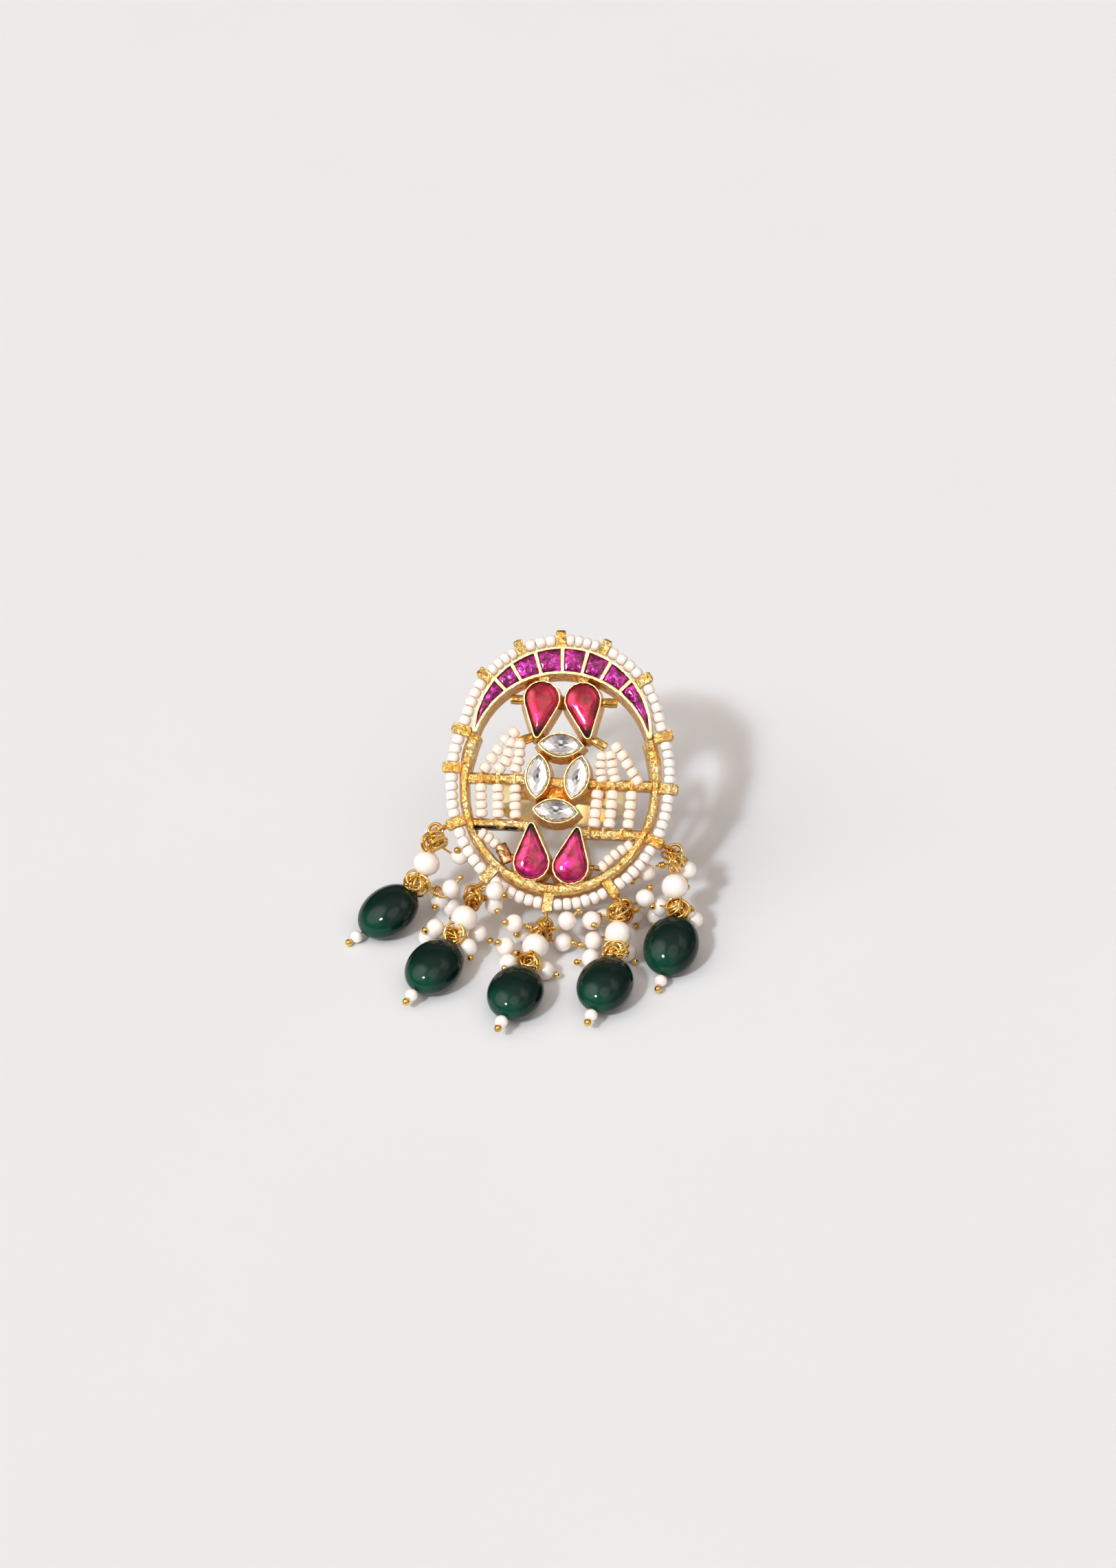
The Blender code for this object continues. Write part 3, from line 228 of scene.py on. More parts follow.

# Pearls and seeds: colour facing, painted shade colour at the edge, roughness of the skin
PEARLS = {
    "pearl": ((1.0, 0.93, 0.88), (1.0, 0.78, 0.68), 0.1),
    "outer_seed": ((0.98, 0.89, 0.83), (0.98, 0.74, 0.62), 0.09),
    "inner_seed": ((1.0, 0.82, 0.68), (1.0, 0.62, 0.44), 0.09),
}

# Light from the room: height of the direction, brightness
ROOM = ((0.0, 0.3), (0.3, 0.26), (0.55, 0.52), (0.8, 0.9), (1.0, 1.35))

# Soft boxes: direction, cosine at the outer edge, cosine where it is full, brightness
SOFT_BOXES = (
    ((-0.72, -0.2, 0.66), 0.84, 0.96, 1.5),
    ((0.07, -0.44, 0.9), 0.93, 0.985, 1.1),
    ((-0.64, -0.78, 1.0), 0.9968, 0.9982, 80.0),
)
ROOM_TINT = (0.955, 0.875, 0.825)
TABLE_REACH = 3.0
CAMERA_AWAY = Vector((-0.356, -459.96, 383.2)) * MM

# The picture's axes: to its right, up in it and towards the camera
PICTURE = (Vector((1, 0, 0)), Vector((0, 0.643, 0.766)), Vector((0, -0.766, 0.643)))

# Ends of the copper sleeve: across and along the head, millimetres
COPPER_ENDS = ((-9.15, -12.3), (-7.7, -15.2))

# A tablet's dome: share of its outline, height in millimetres
TABLET_DOME = (
    (1.0, -0.5), (0.965, -0.4), (0.9, -0.31), (0.8, -0.23), (0.66, -0.16), (0.48, -0.11), (0.26, -0.08)
)

# Marquises: name, centre, turn in degrees
MARQUISES = (
    ("marquise_top", CORE + Vector((0.35 * MM, MARQUISE_RISE)), -1),
    ("marquise_left", CORE + Vector((-MARQUISE_SIDE, 0)), 89),
    ("marquise_right", CORE + Vector((MARQUISE_SIDE, 0)), 79),
    ("marquise_bottom", CORE + Vector((0, -MARQUISE_RISE - 0.35 * MM)), -3),
)

# A marquise's rings: share of its outline, rise in crown heights, share of the way to the next corner
MARQUISE_FACETS = (
    (1.0, 0.0, 0), (0.93, 0.5, 0.5), (0.82, 0.8, 0), (0.79, 0.77, 0), (0.42, 0.35, 0.5), (0.13, -0.1, 0)
)
MARQUISE_GIRDLE = -0.1 * MM


def object_of(name, bm, look, matrix=None):
    """The bmesh as an object in the scene, with its material and its place."""
    mesh = bpy.data.meshes.new(name)
    bm.to_mesh(mesh)
    bm.free()
    mesh.materials.append(look)
    obj = bpy.data.objects.new(name, mesh)
    bpy.context.scene.collection.objects.link(obj)
    if matrix:
        obj.matrix_world = matrix
    return obj


def piece(name, bm, look, nodes=(), smooth=True, matrix=None):
    """A finished piece: its look, the nodes it stands for and the body it rides."""
    bmesh.ops.recalc_face_normals(bm, faces=bm.faces)
    if bm.calc_volume(signed=True) < 0:
        bmesh.ops.reverse_faces(bm, faces=bm.faces)
    for face in bm.faces:
        face.smooth = smooth
    obj = object_of(name, bm, look, matrix)
    if nodes:
        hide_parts(*nodes)
    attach(obj, "root")
    return obj


def stack_rings(bm, rings, looped=False):
    """Faces through rings of equally many points, capped at both ends or joined end to end."""
    rows = [[bm.verts.new(point) for point in ring] for ring in rings]
    count = len(rows[0])
    first, last = rows[0], rows[-1]
    pairs = list(zip(rows, rows[1:]))
    if looped:
        near = min(range(count), key=lambda k: (first[k].co - last[0].co).length)
        pairs.append((last, first[near:] + first[:near]))
    for low, high in pairs:
        for i in range(count):
            j = (i + 1) % count
            bm.faces.new((low[i], low[j], high[j], high[i]))
    if not looped:
        bm.faces.new(list(reversed(first)))
        bm.faces.new(last)


def at_height(outline, height):
    """The outline's points at one height."""
    return [Vector((x, y, height)) for x, y in outline]


def marquise_outline():
    """Two arcs that meet in points at both ends."""
    radius = (MARQUISE_LENGTH**2 + MARQUISE_WIDTH**2) / (4 * MARQUISE_WIDTH)
    centre = radius - MARQUISE_WIDTH / 2
    radius += STONE_GROW
    half = acos(centre / radius)
    sweep = [half - 2 * half * i / 8 for i in range(8)]
    upper = [(radius * sin(a), radius * cos(a) - centre) for a in sweep]
    return upper + [(-x, -y) for x, y in upper]


def pear_outline(radius):
    """A big arc at the origin and a small one at the tip, joined by straight sides."""
    lean = asin((radius - PEAR_TIP_RADIUS) / PEAR_LENGTH)
    outline = []
    for i in range(40):
        a = -lean + (pi + 2 * lean) * i / 39
        outline.append(((radius + STONE_GROW) * cos(a), (radius + STONE_GROW) * sin(a)))
    small = PEAR_TIP_RADIUS + STONE_GROW
    for i in range(14):
        a = pi + lean + (pi - 2 * lean) * i / 13
        outline.append((small * cos(a), small * sin(a) - PEAR_LENGTH))
    return outline


def placed(outline, centre, turn):
    """The outline turned and moved to its centre."""
    c, s = cos(turn), sin(turn)
    return [(centre[0] + c * x - s * y, centre[1] + s * x + c * y) for x, y in outline]


def hit(angle, centre, radius):
    """Where a ray from the crescent's middle meets a circle round a centre on the middle line."""
    ray = Vector((sin(angle), cos(angle)))
    start = Vector((0, MID_CENTRE - centre))
    along = start.dot(ray)
    reach = -along + sqrt(along**2 - start.length_squared + radius**2)
    return Vector((0, MID_CENTRE)) + ray * reach


def crescent_cell(first, last):
    """Outline of one tablet between two dividers, or between a divider and the crescent's tip."""
    rim = CRESCENT_RIM - TABLET_GROW
    outer_radius, inner_radius = CRESCENT_RADIUS - rim, CRESCENT_RADIUS + rim
    rise = (inner_radius**2 - outer_radius**2 + CRESCENT_WIDTH**2) / (2 * CRESCENT_WIDTH)
    tip = atan2(sqrt(inner_radius**2 - rise**2), INNER_CENTRE + rise - MID_CENTRE)
    half = (DIVIDER / 2 - TABLET_GROW) / CRESCENT_RADIUS
    start = -tip if first is None else radians(first) + half
    stop = tip if last is None else radians(last) - half
    sweep = [start + (stop - start) * i / 12 for i in range(13)]
    outer = [hit(a, OUTER_CENTRE, outer_radius) for a in sweep]
    inner = [hit(a, INNER_CENTRE, inner_radius) for a in reversed(sweep)]
    if first is None:
        inner.pop()
    if last is None:
        inner.pop(0)
    return outer + inner


def frame_width(along):
    """How wide the oval frame's gold is at this place along the head."""
    top = max(0.0, (along - FRAME_WIDEST) / (MID_CENTRE - FRAME_WIDEST))
    foot = max(0.0, (FRAME_WIDEST - along) / FRAME_FALL)
    width = FRAME_SIDE_WIDTH + (FRAME_TOP_WIDTH - FRAME_SIDE_WIDTH) * min(1.0, 1.4 * top)
    return width + (FRAME_FOOT_WIDTH - FRAME_SIDE_WIDTH) * foot**6


def frame_reach(along):
    """How far from the middle the frame's gold runs, at this place along the head."""
    if along > FRAME_WIDEST:
        rise = (along - FRAME_WIDEST) / FRAME_RISE
        return FRAME_HALF_WIDTH - (FRAME_HALF_WIDTH - CRESCENT_RADIUS + FRAME_END_IN) * rise**2
    fall = (FRAME_WIDEST - along) / FRAME_FALL
    return FRAME_HALF_WIDTH * sqrt(1 - min(fall, 1.0) ** 2)


def gold_outline():
    """The bead ring's line, just outside the gold of crescent and frame."""
    radius = CRESCENT_RADIUS + RING_AWAY
    turns = [radians(80) * i / 11 for i in range(12)]
    right = [Vector((radius * sin(a), OUTER_CENTRE + radius * cos(a))) for a in turns]
    levels = [FRAME_WIDEST + FRAME_RISE * (1 - i / 5) for i in range(5)]
    levels += [FRAME_WIDEST - FRAME_FALL * sin(radians(90) * i / 9) for i in range(10)]
    route = [Vector((frame_reach(y), y)) for y in levels]
    route.append(Vector((-route[-2].x, route[-2].y)))
    for before, here, after in zip(route, route[1:], route[2:]):
        ahead = (after - before).normalized()
        right.append(here + Vector((-ahead.y, ahead.x)) * (frame_width(here.y) / 2 + RING_AWAY))
    return right + [Vector((-p.x, p.y)) for p in reversed(right[1:-1])]


def loop_place(degrees_round):
    """Where the bead ring passes at this angle, and the direction outwards there."""
    a = radians(degrees_round)
    ray = Vector((sin(a), cos(a)))
    centre = Vector((0, RING_CENTRE))
    outline = gold_outline()
    for here, there in zip(outline, outline[1:] + outline[:1]):
        run = there - here
        away = ray.cross(run)
        share = (here - centre).cross(ray) / away if away else -1
        if 0 <= share <= 1 and ray.dot(here - centre) > 0:
            out = Vector((-run.y, run.x)).normalized()
            return here + run * share, out if out.dot(ray) > 0 else -out
    return centre, ray


def eye_place(degrees_round):
    """The middle of the eye that a drop hangs from."""
    point, out = loop_place(degrees_round)
    centre = point + out * (LOOP_REACH + EYE_RADIUS)
    return Vector((*centre, -STRING_DEPTH))


def pear_place(side, row):
    """A pear's centre, turn and radius."""
    if row == "upper":
        across = -0.22 * MM + side * (UPPER_PEAR_RADIUS + RIM + 0.31 * MM)
        return Vector((across, UPPER_HEAD)), radians(-5 if side == LEFT else 10), UPPER_PEAR_RADIUS
    across = -0.77 * MM + side * (LOWER_PEAR_RADIUS + RIM + 0.2 * MM)
    centre = Vector((across, LOWER_HEAD - side * 0.2 * MM))
    return centre, radians(183 if side == LEFT else 172.5), LOWER_PEAR_RADIUS


def pear_tip(centre, turn):
    """The middle of a pear's small arc."""
    return centre + Vector((sin(turn), -cos(turn))) * PEAR_LENGTH


def bar_span(side, level):
    """The outer and inner end of a cross bar."""
    along = BAR_LEVELS[side, level]
    inner = CORE.x + side * (MARQUISE_SIDE + MARQUISE_WIDTH / 2 + RIM)
    if level == "low":
        centre, turn, _ = pear_place(side, "lower")
        tip = pear_tip(centre, turn)
        inner = tip.x + side * (PEAR_TIP_RADIUS + 0.6 * RIM + 0.34 * abs(along - tip.y))
    return Vector((side * frame_reach(along), along)), Vector((inner, along))


def pose_of_head():
    """The head tipped back and turned, as high as its shank holds it over the table."""
    turn = Matrix.Rotation(YAW, 4, "Z") @ Matrix.Rotation(INCLINE, 4, "X")
    half = SHANK_WIDTH / 2 - SHANK_EDGE
    deep = HEAD_DEPTH + SHANK_STEP + 2 * FINGER_RADIUS + 0.8 * SHANK_WALL
    lift = -(turn @ Vector((0, CORE.y + SHANK_OFFSET - half, -deep))).z
    return Matrix.Translation((0, 0, lift)) @ turn


def axes_along(ahead):
    """A turn whose Z axis points ahead and whose X axis is level."""
    ahead = Vector(ahead).normalized()
    level = Vector((0, 0, 1)).cross(ahead)
    level = level.normalized() if level.length > 1e-6 else Vector((1, 0, 0))
    return Matrix((level, ahead.cross(level), ahead)).transposed()


def on_ring(centre, axis, radius, target):
    """The point of a wire ring that lies nearest to a target."""
    axis = axis.normalized()
    away = target - centre
    away = away - axis * away.dot(axis)
    return centre + away.normalized() * radius


def drop_places(chain_heading, bead_heading, anchor, tangent):
    """Where a drop's bead, pearl and knots lie, worked out as the solids are."""
    reach = UPPER_KNOT_LENGTH + 2 * BIG_PEARL_RADIUS + LOWER_KNOT_LENGTH + BEAD_LENGTH / 2
    rest = BEAD_THICKNESS / 2
    tilt = asin((anchor.z - rest) / reach) / 2
    centre_height = sqrt((BEAD_LENGTH / 2 * sin(tilt)) ** 2 + (rest * cos(tilt)) ** 2)
    level = sqrt(reach**2 - (anchor.z - centre_height) ** 2)
    ahead = radians(chain_heading)
    bead_at = anchor + Vector((sin(ahead), -cos(ahead), 0)) * level
    bead_at.z = centre_height
    turn = radians(bead_heading)
    axis = Vector((sin(turn) * cos(tilt), -cos(turn) * cos(tilt), -sin(tilt)))
    inner_end = bead_at - axis * (BEAD_LENGTH / 2)
    chain = inner_end - anchor
    way = chain.normalized()
    slack = chain.length - (reach - BEAD_LENGTH / 2)
    upper_length = UPPER_KNOT_LENGTH + slack / 2
    lower_length = LOWER_KNOT_LENGTH + slack / 2
    pearl_at = anchor + way * (upper_length + BIG_PEARL_RADIUS)
    small = 0.6 * LINK_RADIUS
    down = (way - tangent * way.dot(tangent)).normalized()
    link = (anchor + down * LINK_RADIUS, down.cross(tangent), LINK_RADIUS)
    far = on_ring(*link, pearl_at)
    step = (pearl_at - far).normalized()
    second = (far + step * (small - 1.2 * WIRE), tangent - step * tangent.dot(step), small)
    upper_middle = anchor + way * (upper_length - UPPER_PEARLS_BACK)
    lower_middle = pearl_at + way * (BIG_PEARL_RADIUS + lower_length / 2)
    across = way.cross(Vector((0, 0, 1))).normalized()
    lower = (lower_middle, across.cross(way), small)
    return {
        "bead": bead_at,
        "axis": axis,
        "pearl": pearl_at,
        "way": way,
        "rings": {1: [link, second], 2: [lower]},
        "middle": {1: upper_middle, 2: lower_middle},
    }


def laid_drop(loop, chain_heading, bead_heading, stand):
    """The places of the drop that hangs from this loop, moved with the stand."""
    pose = pose_of_head()
    _, out = loop_place(loop)
    tangent = pose.to_3x3() @ Vector((-out.y, out.x, 0))
    places = drop_places(chain_heading, bead_heading, pose @ eye_place(loop), tangent)
    for key in ("bead", "pearl"):
        places[key] = places[key] + stand
    for key, rings in places["rings"].items():
        places["rings"][key] = [(centre + stand, axis, radius) for centre, axis, radius in rings]
    for key, middle in places["middle"].items():
        places["middle"][key] = middle + stand
    return places


class Nodes:
    """A node tree being filled in, its textures laid out in the named coordinates."""

    def __init__(self, tree, coordinates):
        self.tree = tree
        self.coordinates = coordinates

    def feed(self, socket, value):
        if isinstance(value, bpy.types.NodeSocket):
            self.tree.links.new(value, socket)
        else:
            socket.default_value = value

    def node(self, kind, inputs=(), **settings):
        """A new node with its settings made, then its inputs fed."""
        made = self.tree.nodes.new("ShaderNode" + kind)
        for key, value in settings.items():
            setattr(made, key, value)
        for key, value in dict(inputs).items():
            self.feed(made.inputs[key], value)
        return made

    def place(self):
        return self.node("TexCoord").outputs[self.coordinates]

    def maths(self, operation, *values):
        return self.node("Math", enumerate(values), operation=operation).outputs[0]

    def product(self, first, *others):
        for other in others:
            first = self.maths("MULTIPLY", first, other)
        return first

    def inverse(self, value):
        return self.maths("SUBTRACT", 1.0, value)

    def graded(self, value, times, plus):
        return self.maths("ADD", plus, self.maths("MULTIPLY", value, times))

    def band(self, value, low, high):
        """0 below low, 1 above high, smooth between."""
        inputs = {"Value": value, "From Min": low, "From Max": high}
        return self.node("MapRange", inputs, interpolation_type="SMOOTHSTEP").outputs[0]

    def span(self, value, *edges):
        """0 outside the outer two edges and 1 between the inner two, in millimetres."""
        low, rise, fall, high = (edge * MM for edge in edges)
        return self.product(self.band(value, low, rise), self.inverse(self.band(value, fall, high)))

    def grain(self, scale, detail=2.0, distortion=0.0, roughness=0.5):
        """Noise from 0 to 1."""
        inputs = {"Vector": self.place(), "Scale": scale, "Detail": detail}
        inputs.update(Roughness=roughness, Distortion=distortion)
        return self.node("TexNoise", inputs).outputs[0]

    def lumps(self, scale):
        """Soft rounded cells."""
        inputs = {"Vector": self.place(), "Scale": scale, "Smoothness": 0.25}
        return self.node("TexVoronoi", inputs, feature="SMOOTH_F1").outputs["Distance"]

    def blend(self, share, first, second):
        """From the first colour to the second."""
        first, second = ((*c, 1) if isinstance(c, tuple) else c for c in (first, second))
        return self.node("Mix", {0: share, 6: first, 7: second}, data_type="RGBA").outputs[2]

    def ramp(self, value, *stops):
        """Colours along the value; each stop is a position and a colour."""
        made = self.node("ValToRGB", {0: value})
        points = made.color_ramp.elements
        points[0].position, points[0].color = stops[0][0], (*stops[0][1], 1)
        points[1].position, points[1].color = stops[-1][0], (*stops[-1][1], 1)
        for position, colour in stops[1:-1]:
            points.new(position).color = (*colour, 1)
        return made.outputs[0]

    def along(self, direction, origin=(0, 0, 0)):
        """How far a place lies along a direction from an origin."""
        offset = self.node("VectorMath", {0: self.place(), 1: origin}, operation="SUBTRACT")
        dot = self.node("VectorMath", {0: offset.outputs[0], 1: direction}, operation="DOT_PRODUCT")
        return dot.outputs["Value"]


class Look(Nodes):
    """A material being put together from nodes."""

    def __init__(self, name):
        self.material = bpy.data.materials.new(name)
        self.material.use_nodes = True
        super().__init__(self.material.node_tree, "Object")
        self.shader = self.tree.nodes["Principled BSDF"]

    def set(self, **values):
        """Feeds the shader's sockets, named in lower case."""
        for key, value in values.items():
            name = key.replace("_", " ").title().replace("Ior", "IOR")
            self.feed(self.shader.inputs[name], value)

    def relief(self, height, distance, strength=1.0, over=None):
        """A normal bent by the height, over another normal if one is given."""
        inputs = {"Height": height, "Distance": distance, "Strength": strength}
        if over is not None:
            inputs["Normal"] = over
        return self.node("Bump", inputs).outputs[0]

    def per_piece(self):
        """A number of its own for each loose part of a mesh."""
        return self.node("NewGeometry").outputs["Random Per Island"]


def wire_look():
    """Yellow gold wire with a faint grain."""
    look = Look("gold_wire")
    shades = ((0.34, (0.62, 0.3, 0.05)), (0.5, (0.88, 0.55, 0.14)), (0.66, (1.0, 0.75, 0.3)))
    colour = look.ramp(look.grain(330, 3.0), *shades)
    bump = look.relief(look.grain(1400), 0.035 * MM, 0.6)
    look.set(base_color=colour, metallic=1.0, roughness=0.13, normal=bump)
    return look.material


def hammered_look(head):
    """Cast gold: pitted walls and bars with painted shade in the pits, brighter rims, a painted glow deep in
    the openings, a smooth shank.
    """
    look = Look("hammered_gold")
    turn, origin = head.to_3x3(), head.translation
    across, along, out = (look.along(turn.col[i], origin) for i in range(3))

    wide = look.maths("DIVIDE", across, FRAME_HALF_WIDTH)
    high = look.maths("DIVIDE", look.maths("SUBTRACT", along, FRAME_WIDEST), FRAME_FALL)
    oval = look.maths("ADD", look.maths("POWER", wide, 2.0), look.maths("POWER", high, 2.0))
    crown = look.band(along, MID_CENTRE + 1.9 * MM, MID_CENTRE + 2.6 * MM)
    settings = look.maths("MAXIMUM", look.inverse(look.band(oval, 0.84, 0.89)), crown)
    rims = look.product(settings, look.band(out, -0.22 * MM, -0.1 * MM))
    # Painted glow: deep orange on the walls of the openings, standing in for light bounced between the gold.
    deep = look.span(out, -4.2, -3.4, -1.9, -0.6)
    hoop = look.inverse(look.band(out, -3.9 * MM, -3.3 * MM))

    bar_length = look.span(across, -13.9, -13.4, -5.9, -5.2)
    under_bar = look.product(look.span(along, -10.3, -10.0, -9.5, -9.0), bar_length)
    inner_side = look.inverse(look.band(oval, 0.88, 0.93))
    leftmost = look.inverse(look.band(across, -10.2 * MM, -8.6 * MM))
    corner = look.product(look.span(along, -16.5, -14.5, -10.2, -9.4), inner_side, leftmost, 0.8)
    aged = look.product(look.maths("MAXIMUM", under_bar, corner), look.band(look.grain(900, 3.0), 0.3, 0.5))

    patches = look.grain(330, 3.0)
    pits = look.grain(1700, 4.0, 0.6, 0.7)
    fine = look.grain(6500)
    specks = look.band(look.grain(3600), 0.4, 0.56)
    # Painted shade: the hammered gold darkens in the pits of its bumps, together with random dark specks.
    unshaded_unspecked = look.product(look.graded(look.band(pits, 0.36, 0.62), 0.34, 0.66), look.graded(specks, 0.5, 0.5))
    shades = ((0.34, (0.95, 0.52, 0.12)), (0.5, (1.0, 0.75, 0.27)), (0.66, (1.0, 0.88, 0.5)))
    # Painted glow of bounced light deep in the openings.
    colour = look.blend(deep, look.ramp(patches, *shades), (0.95, 0.48, 0.1))
    # Painted shade in the pits, with the random dark specks, as a dark brown.
    colour = look.blend(look.inverse(unshaded_unspecked), colour, (0.5, 0.2, 0.03))
    colour = look.blend(rims, colour, (1.0, 0.8, 0.4))
    smooth_gold = look.blend(look.band(patches, 0.4, 0.6), (1.0, 0.78, 0.36), (1.0, 0.86, 0.5))
    colour = look.blend(hoop, colour, smooth_gold)
    colour = look.blend(aged, colour, (0.05, 0.025, 0.012))

    rough = look.product(look.graded(fine, 0.28, 0.06), look.inverse(hoop))
    rough = look.maths("ADD", rough, look.product(hoop, 0.16))
    beaten = look.inverse(look.maths("MAXIMUM", hoop, look.product(rims, 0.72)))
    rounded = look.node("Bevel", {"Radius": 0.16 * MM}, samples=6).outputs[0]
    bump = look.relief(fine, 0.03 * MM, beaten, rounded)
    bump = look.relief(pits, 0.26 * MM, beaten, bump)
    bump = look.relief(look.lumps(1150), 0.36 * MM, beaten, bump)
    look.set(base_color=colour, metallic=1.0, roughness=rough, normal=bump)
    return look.material


def foil_look(name, tip=None):
    """Glass over crinkled foil: a creased mirror under a smooth coat, with painted shade towards a tip."""
    dark, middle, bright, size, depth, glass = FOILS[name]
    look = Look(name + "_foil")
    creases = look.lumps(1.0 / size)
    waves = look.grain(0.9 / size, 2.0, 1.2)
    spread = look.grain(0.35 / size, 1.0)
    height = look.maths("ADD", creases, look.product(waves, 0.8))
    mixed = look.maths("ADD", look.product(waves, 0.6), look.product(spread, 0.4))
    colour = look.ramp(mixed, (0.33, dark), (0.48, middle), (0.66, bright))
    if tip:
        # Painted shade: the foil turns near black towards the pear's tip.
        colour = look.blend(look.band(look.along(*tip), 0.0, TIP_SHADE_REACH), colour, (0.035, 0.0, 0.008))
    look.set(
        base_color=colour,
        metallic=0.85,
        roughness=0.22,
        normal=look.relief(height, depth),
        coat_weight=1.0,
        coat_roughness=0.02,
        coat_ior=glass,
    )
    return look.material


def crystal_look():
    """Silver-backed cut glass with painted reflections: grey to near white per stone and in soft patches, in
    place of facets catching light.
    """
    look = Look("crystal")
    # Painted reflections: the colour runs from grey to near white by stone and in noise patches.
    mixed = look.product(look.maths("ADD", look.per_piece(), look.grain(700, 1.0)), 0.6)
    colour = look.ramp(mixed, (0.2, (0.35, 0.36, 0.4)), (0.5, (0.8, 0.81, 0.84)), (0.8, (0.97, 0.97, 0.98)))
    look.set(base_color=colour, metallic=0.95, roughness=0.08, coat_weight=1.0, coat_roughness=0.02)
    return look.material


def dark_look():
    """Painted shade: the dark point in the middle of a cut stone."""
    look = Look("painted_dark_point")
    colour = look.ramp(look.grain(900), (0.3, (0.01, 0.01, 0.012)), (0.7, (0.05, 0.05, 0.06)))
    look.set(base_color=colour, roughness=0.3)
    return look.material


def copper_look():
    """Dark worn copper."""
    look = Look("copper")
    worn = look.grain(1200, 3.0)
    colour = look.ramp(worn, (0.35, (0.12, 0.04, 0.015)), (0.55, (0.55, 0.24, 0.1)), (0.7, (0.85, 0.5, 0.28)))
    look.set(base_color=colour, metallic=1.0, roughness=0.3, normal=look.relief(look.grain(2000), 0.08 * MM))
    return look.material


def pearl_look(name):
    """Pearl: a soft body colour, a pinkish painted shade towards the edge and a glossy skin."""
    facing_colour, painted_edge_shade, gloss = PEARLS[name]
    look = Look(name)
    # Painted shade: the colour turns to the pinkish edge colour where the surface turns away from view, mixed
    # with a random tone per pearl.
    edge = look.node("LayerWeight", {"Blend": 0.3}).outputs["Facing"]
    share = look.maths("ADD", look.product(edge, 0.75), look.product(look.per_piece(), 0.25))
    colour = look.blend(share, facing_colour, painted_edge_shade)
    colour = look.blend(look.product(look.grain(420), 0.2), colour, (1.0, 0.95, 0.86))
    look.set(
        base_color=colour,
        roughness=0.26,
        subsurface_weight=0.3,
        subsurface_radius=(1.1 * MM, 0.7 * MM, 0.5 * MM),
        subsurface_scale=1.0,
        coat_weight=1.0,
        coat_roughness=gloss,
        coat_ior=1.6,
        normal=look.relief(look.grain(1300), 0.012 * MM, 0.5),
    )
    return look.material


def glass_bead_look(centre):
    """Deep green glass with a painted glow of light inside its near lower side."""
    look = Look("green_glass")
    # Painted glow: lighter green inside the side that faces the key light and the camera.
    painted_glow = look.band(look.along((-0.5, -0.75, 0.2), centre), 0.6 * MM, 4.6 * MM)
    greens = ((0.0, (0.001, 0.012, 0.008)), (0.6, (0.0015, 0.022, 0.014)), (1.0, (0.004, 0.06, 0.034)))
    veins = look.product(look.grain(330, 3.0, 0.6), 0.3)
    colour = look.blend(veins, look.ramp(painted_glow, *greens), (0.0, 0.009, 0.007))
    look.set(
        base_color=colour,
        roughness=0.3,
        specular_ior_level=0.0,
        coat_weight=1.0,
        coat_roughness=0.012,
        coat_ior=1.36,
        normal=look.relief(look.grain(500, 1.0), 0.015 * MM, 0.4),
    )
    return look.material


def thread_look():
    """Pale twisted thread."""
    look = Look("thread")
    inputs = {"Vector": look.place(), "Scale": 900}
    twist = look.node("TexWave", inputs, bands_direction="DIAGONAL").outputs[1]
    colour = look.blend(twist, (0.8, 0.7, 0.58), (0.93, 0.86, 0.76))
    look.set(base_color=colour, roughness=0.75, normal=look.relief(twist, 0.03 * MM))
    return look.material


def revolve(bm, centre, turn, rows, sides, looped=False, flat=1.0):
    """A surface of revolution about the turn's Z axis; rows are (radius, along)."""
    angles = [2 * pi * i / sides for i in range(sides)]
    rings = []
    for radius, along in rows:
        ring = [Vector((radius * cos(a), radius * flat * sin(a), along)) for a in angles]
        rings.append([centre + turn @ point for point in ring])
    stack_rings(bm, rings, looped)


def seed_into(bm, centre, axis, chance, size, length):
    """One button-shaped seed bead with its hole, a little uneven as such beads are."""
    turn = axes_along((Vector(axis).normalized() + wander(chance) * 0.07).normalized())
    radius = SEED_RADIUS * size * chance.uniform(0.93, 1.0)
    half = length / 2 * chance.uniform(0.97, 1.0)
    hole = THREAD_RADIUS * 1.2
    rows = [(hole, -0.8 * half)]
    for i in range(11):
        a = radians(-90 + 18 * i)
        bulge = abs(cos(a)) ** 0.56
        rows.append((hole + 0.12 * MM + (radius - hole - 0.12 * MM) * bulge, half * sin(a)))
    rows.append((hole, 0.8 * half))
    revolve(bm, Vector(centre), turn, rows, 18, looped=True)


def pearl_into(bm, centre, axis, radius, chance, squash):
    """One pearl with its drill hole, not quite round."""
    turn = axes_along(axis)
    hole = 0.17 * MM
    rows = [(hole, -0.72 * radius)]
    start = asin(hole / radius)
    for i in range(17):
        a = start + (pi - 2 * start) * i / 16
        rows.append((radius * sin(a), -radius * squash * cos(a)))
    rows.append((hole, 0.72 * radius))
    count = len(bm.verts)
    revolve(bm, Vector(centre), turn, rows, 26, looped=True)
    bm.verts.ensure_lookup_table()
    shift = Vector((chance.uniform(-9, 9), chance.uniform(-9, 9), chance.uniform(-9, 9)))
    for vert in bm.verts[count:]:
        away = vert.co - centre
        bump = noise.noise(away / radius * 0.9 + shift)
        vert.co = centre + away * (0.985 + 0.02 * bump)


